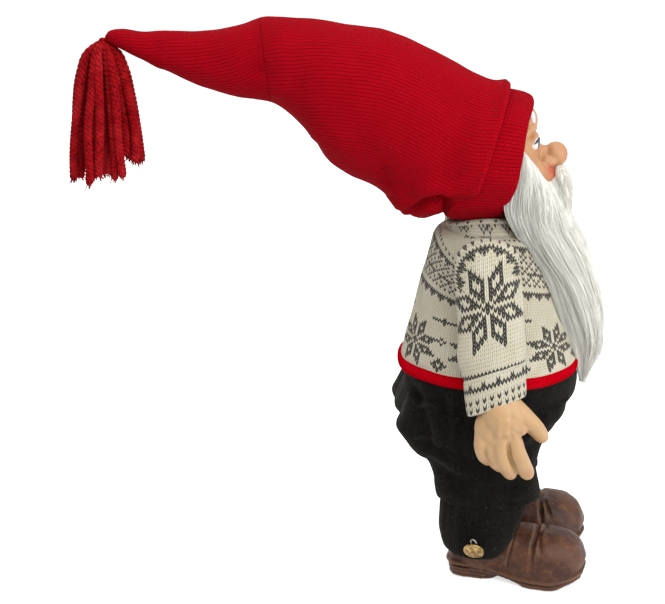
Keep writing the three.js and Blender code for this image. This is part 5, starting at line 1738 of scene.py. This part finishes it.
def buildShoe(sideName, side, material):
    length, back, width = shoe["length"], shoe["back"], shoe["width"]
    table = np.array(shoe["stations"], float)
    shares = np.linspace(0, 1, 60)
    half, top = spline(table[:, 0], table[:, 1:], shares).T
    x = back + length * shares
    toe = back + length
    # the sole's upper side and underside along the shoe
    soleTop = 11 - 4 * ease(x, -5, 28)
    under = np.where(x < 5, 0, 5.2 * np.sqrt(np.clip((28 - x) / 23, 0, 1)))
    spring = 4.5 * ease(x, 40, toe) ** 1.5
    under, soleTop = under + spring, soleTop + 0.6 * spring
    turn, ahead = math.radians(side * shoe["turn"][sideName]), shoe["ahead"][sideName]

    def placed(points):
        px, py, pz = np.moveaxis(np.asarray(points, float), -1, 0)
        return np.stack([
            ahead + px * math.cos(turn) - py * math.sin(turn),
            side * shoe["middle"] + px * math.sin(turn) + py * math.cos(turn), pz], -1)

    upper, welt, sole = [], [], []
    angle = np.linspace(0, math.pi, 41)
    flank = squared(np.cos(angle), 0.8)
    dome = np.sin(angle) ** 0.8
    inside = 2.2 * bump(x - 8, 16)  # the arch is drawn in on the inner side
    for i, place in enumerate(x):
        w = half[i] * width / 2
        y = flank * w
        y = np.where(y * side < 0, y * (1 - inside[i] / w), y)
        low = soleTop[i] - 1.5
        upper.append(np.stack([np.full(41, place), y, low + dome * (top[i] - low)], -1))
    around = circle(40)
    square, lift = squared(np.cos(around), 0.4), squared(np.sin(around), 0.4)
    for i, share in enumerate(shares):
        w = half[i] * width / 2
        place = back - 1.8 + (length + 3.6) * share
        for rows, reach, low, high in (
            (welt, 1.9, soleTop[i] - 3.3, soleTop[i] + 0.3),
            (sole, 1.1, under[i], soleTop[i] - 3.0),
        ):
            y = square * (w + reach)
            y = np.where(y * side < 0, y * (1 - inside[i] / w), y)
            z = (low + high) / 2 + (high - low) / 2 * lift
            rows.append(np.stack([np.full(40, place), y, z], -1))
    parts = [skinPiece(name, placed(rows))
             for name, rows in (("upper", upper), ("welt", welt), ("sole", sole))]
    parts.append(limb([(ahead, side * 26, z) for z in (12, 30, 39)], [16.5, 16, 15], 40))
    piece = merged(f"{sideName}_shoe_cast", parts, 0.62, 3)
    points, normals = meshPoints(piece), meshNormals(piece)
    local = points - [ahead, side * shoe["middle"], 0]
    lx = local[:, 0] * math.cos(turn) + local[:, 1] * math.sin(turn)
    ly = local[:, 1] * math.cos(turn) - local[:, 0] * math.sin(turn)
    lz = local[:, 2]
    onUpper = ease(lz, 9, 13)
    lift = np.zeros(len(points))
    # the deep fold across the vamp, forked at its top, and lighter wrinkles
    for place, depth, reach, lean in ((34.5, 2.2, 1.3, 0.02), (38, 1.3, 1.2, 0.12)):
        line = place + lean * (32 - lz) + 0.7 * np.sin(0.22 * ly + place)
        deepest = 0.3 + 0.7 * ease(lz, 16, 27) if lean < 0.1 else ease(lz, 20, 28)
        lift -= depth * bump(lx - line, reach) * onUpper * deepest
        lift += 0.35 * depth * bump(lx - line - 2.8, 2.2) * onUpper * deepest
    # the quarter's seam, and the heel's layers
    seam = 18.5 + 0.15 * (lz - 10)
    lift -= 0.8 * bump(lx - seam, 0.7) * onUpper
    lift += 0.35 * ease(seam - lx, 0, 1.2) * onUpper
    heel = (1 - ease(lx, 5, 7)) * (1 - ease(lz, 8.2, 9))
    for z in (2.4, 4.6, 6.8):
        lift -= 0.7 * bump(lz - z - 0.04 * (5 - lx), 0.45) * heel
    # the groove between the welt and the sole
    groove = 7.9 - 4 * ease(lx, -5, 28) + 2.7 * ease(lx, 40, toe) ** 1.5
    lift -= 0.7 * bump(lz - groove, 0.5)
    lift += 0.35 * noiseAt(points, 9, 51) + 0.15 * noiseAt(points, 3, 52)
    moved = points + normals * lift[:, None]
    # the underside is drawn in at the toe and at the heel
    low = 1 - ease(lz, 1, 17)
    drawn = low * (3 * (1 - ease(lx, back - 2, back + 12)) - 4.5 * ease(lx, toe - 22, toe))
    moved[:, :2] += drawn[:, None] * [math.cos(turn), math.sin(turn)]
    moved[:, 2] = np.maximum(moved[:, 2], 0)
    movePoints(piece, moved)
    dress(piece, material, "torso", "shoe_cast", f"{sideName}_shoe")


def shoeMaterial():
    material, tree, shader = newMaterial("wornLeather", specular=0.25, coat=0.03, coatRoughness=0.4)
    place = surfacePlace(tree)
    broad = noiseField(tree, place, 70, 4, 0.6)
    blotch = noiseField(tree, place, 200, 4, 0.65)
    grain = noiseField(tree, place, 1500, 3, 0.6)
    point = tree.nodes.new("ShaderNodeNewGeometry")
    worn = Field(tree, point.outputs["Pointiness"]).span(0.5, 0.56)
    # painted shade: the creases and hollows, where the surface is least pointy, are darkened
    deep = Field(tree, point.outputs["Pointiness"]).span(0.42, 0.5, 1, 0)
    base = mixed(tree, broad.span(0.35, 0.65), colour(50, 27, 17), colour(80, 47, 31))
    base = mixed(tree, blotch.span(0.5, 0.72) * 0.6, base, colour(112, 78, 50))
    base = mixed(tree, worn * 0.5, base, colour(128, 92, 60))
    base = mixed(tree, deep * 0.85, base, colour(22, 13, 10))
    low = splitPlace(tree, place)[2].span(0.006, 0.012, 1, 0)
    base = mixed(tree, low * 0.35, base, colour(76, 44, 34))
    tree.links.new(base, shader.inputs["Base Color"])
    tree.links.new(blotch.span(0.3, 0.7, 0.42, 0.62).socket, shader.inputs["Roughness"])
    relief(tree, shader, grain * 0.5 + blotch, 0.18)
    return material


leather = shoeMaterial()
buildShoe("right", -1, leather)
buildShoe("left", 1, leather)
print("shoes built")


# What the clothes hide keeps its packed form

def buildCore(material):  # the stuffed trunk, a little slimmer than its packed form
    angle = circle(64)
    knots = np.array([(110.5, 38), (113, 44), (119, 46.5), (130, 46), (150, 43), (170, 39),
                      (190, 35), (204, 29.5), (211, 22)])
    z = np.linspace(110.5, 211, 50)
    half = spline(knots[:, 0], knots[:, 1], z)[:, None]
    rings = [half * np.cos(angle), 1.06 * half * np.sin(angle), np.broadcast_to(z[:, None], (50, 64))]
    piece = skinPiece("stuffed_trunk", np.stack(rings, -1))
    dress(piece, material, "torso", "stuffing", "torso_core")


buildCore(grainMaterial("stuffedCalico", colour(196, 186, 164), colour(222, 214, 196),
                        (900, 4, 0.6), 0.2, roughness=0.95))
inside = {
    ("neck_post", "right_leg_rod", "left_leg_rod"): grainMaterial(
        "turnedBeech", colour(178, 130, 82), colour(208, 166, 116),
        (260, 4, 0.6, (1, 1, 0.12)), 0.2, roughness=0.6),
    ("right_arm_wire", "left_arm_wire"): grainMaterial(
        "drawnSteel", colour(120, 122, 126), colour(160, 162, 166),
        (900, 4, 0.6, (1, 1, 0.1)), 0.05, roughness=0.35, metallic=1.0),
}
for names, surface in inside.items():
    for name in names:
        bpy.data.objects[name].data.materials.clear()
        bpy.data.objects[name].data.materials.append(surface)


# Camera, light and floor

view = {
    "target": (-0.0030, 0, 0.16936),
    "elevation": 17,
    "distance": 1.130,
    "lens": 99.12,
    # name, place, size, power
    "lights": (
        ("key", (0.25, -0.9, 1.1), 0.9, 11), ("top", (-0.15, 0.1, 1.3), 1.2, 9),
        ("fill", (1.1, -0.6, 0.4), 0.9, 9), ("rear", (-0.6, 1.1, 0.8), 1.0, 5),
    ),
}


def buildStage():
    elevation = math.radians(view["elevation"])
    target = Vector(view["target"])
    camera = bpy.data.objects.new("camera", bpy.data.cameras.new("camera"))
    scene.collection.objects.link(camera)
    camera.location = target + view["distance"] * Vector((0, -math.cos(elevation), math.sin(elevation)))
    camera.rotation_euler = (target - camera.location).to_track_quat("-Z", "Y").to_euler()
    camera.data.lens = view["lens"]
    camera.data.sensor_width = 36
    scene.camera = camera

    for name, place, size, power in view["lights"]:
        lamp = bpy.data.objects.new(name, bpy.data.lights.new(name, "AREA"))
        lamp.data.energy = power
        lamp.data.size = size
        lamp.location = place
        lamp.rotation_euler = (Vector((0, 0, 0.2)) - lamp.location).to_track_quat("-Z", "Y").to_euler()
        scene.collection.objects.link(lamp)

    world = bpy.data.worlds.new("studio")
    scene.world = world
    world.use_nodes = True
    tree = world.node_tree
    back = tree.nodes["Background"]
    path = tree.nodes.new("ShaderNodeLightPath")
    seen = Field(tree, path.outputs["Is Camera Ray"]).high(Field(tree, path.outputs["Is Glossy Ray"]))
    seen = seen.high(Field(tree, path.outputs["Is Transmission Ray"]))
    tree.links.new((seen * 0.45 + 0.55).socket, back.inputs["Strength"])
    back.inputs["Color"].default_value = (1, 1, 1, 1)

    half = 3.0
    floor = newPiece("floor", [(-half, -half, 0), (half, -half, 0), (half, half, 0), (-half, half, 0)],
                     [(0, 1, 2, 3)], inRow=True)
    material, tree, shader = newMaterial("paleFloor", roughness=0.9, specular=0.1)
    shader.inputs["Base Color"].default_value = (0.8, 0.8, 0.8, 1)
    shader.inputs["Emission Color"].default_value = (1, 1, 1, 1)
    path = tree.nodes.new("ShaderNodeLightPath")
    seen = Field(tree, path.outputs["Is Camera Ray"]).high(Field(tree, path.outputs["Is Glossy Ray"]))
    tree.links.new((seen * 0.65).socket, shader.inputs["Emission Strength"])
    floor.data.materials.append(material)
    scene.view_settings.view_transform = "Standard"
    print("camera, light and floor set")


buildStage()
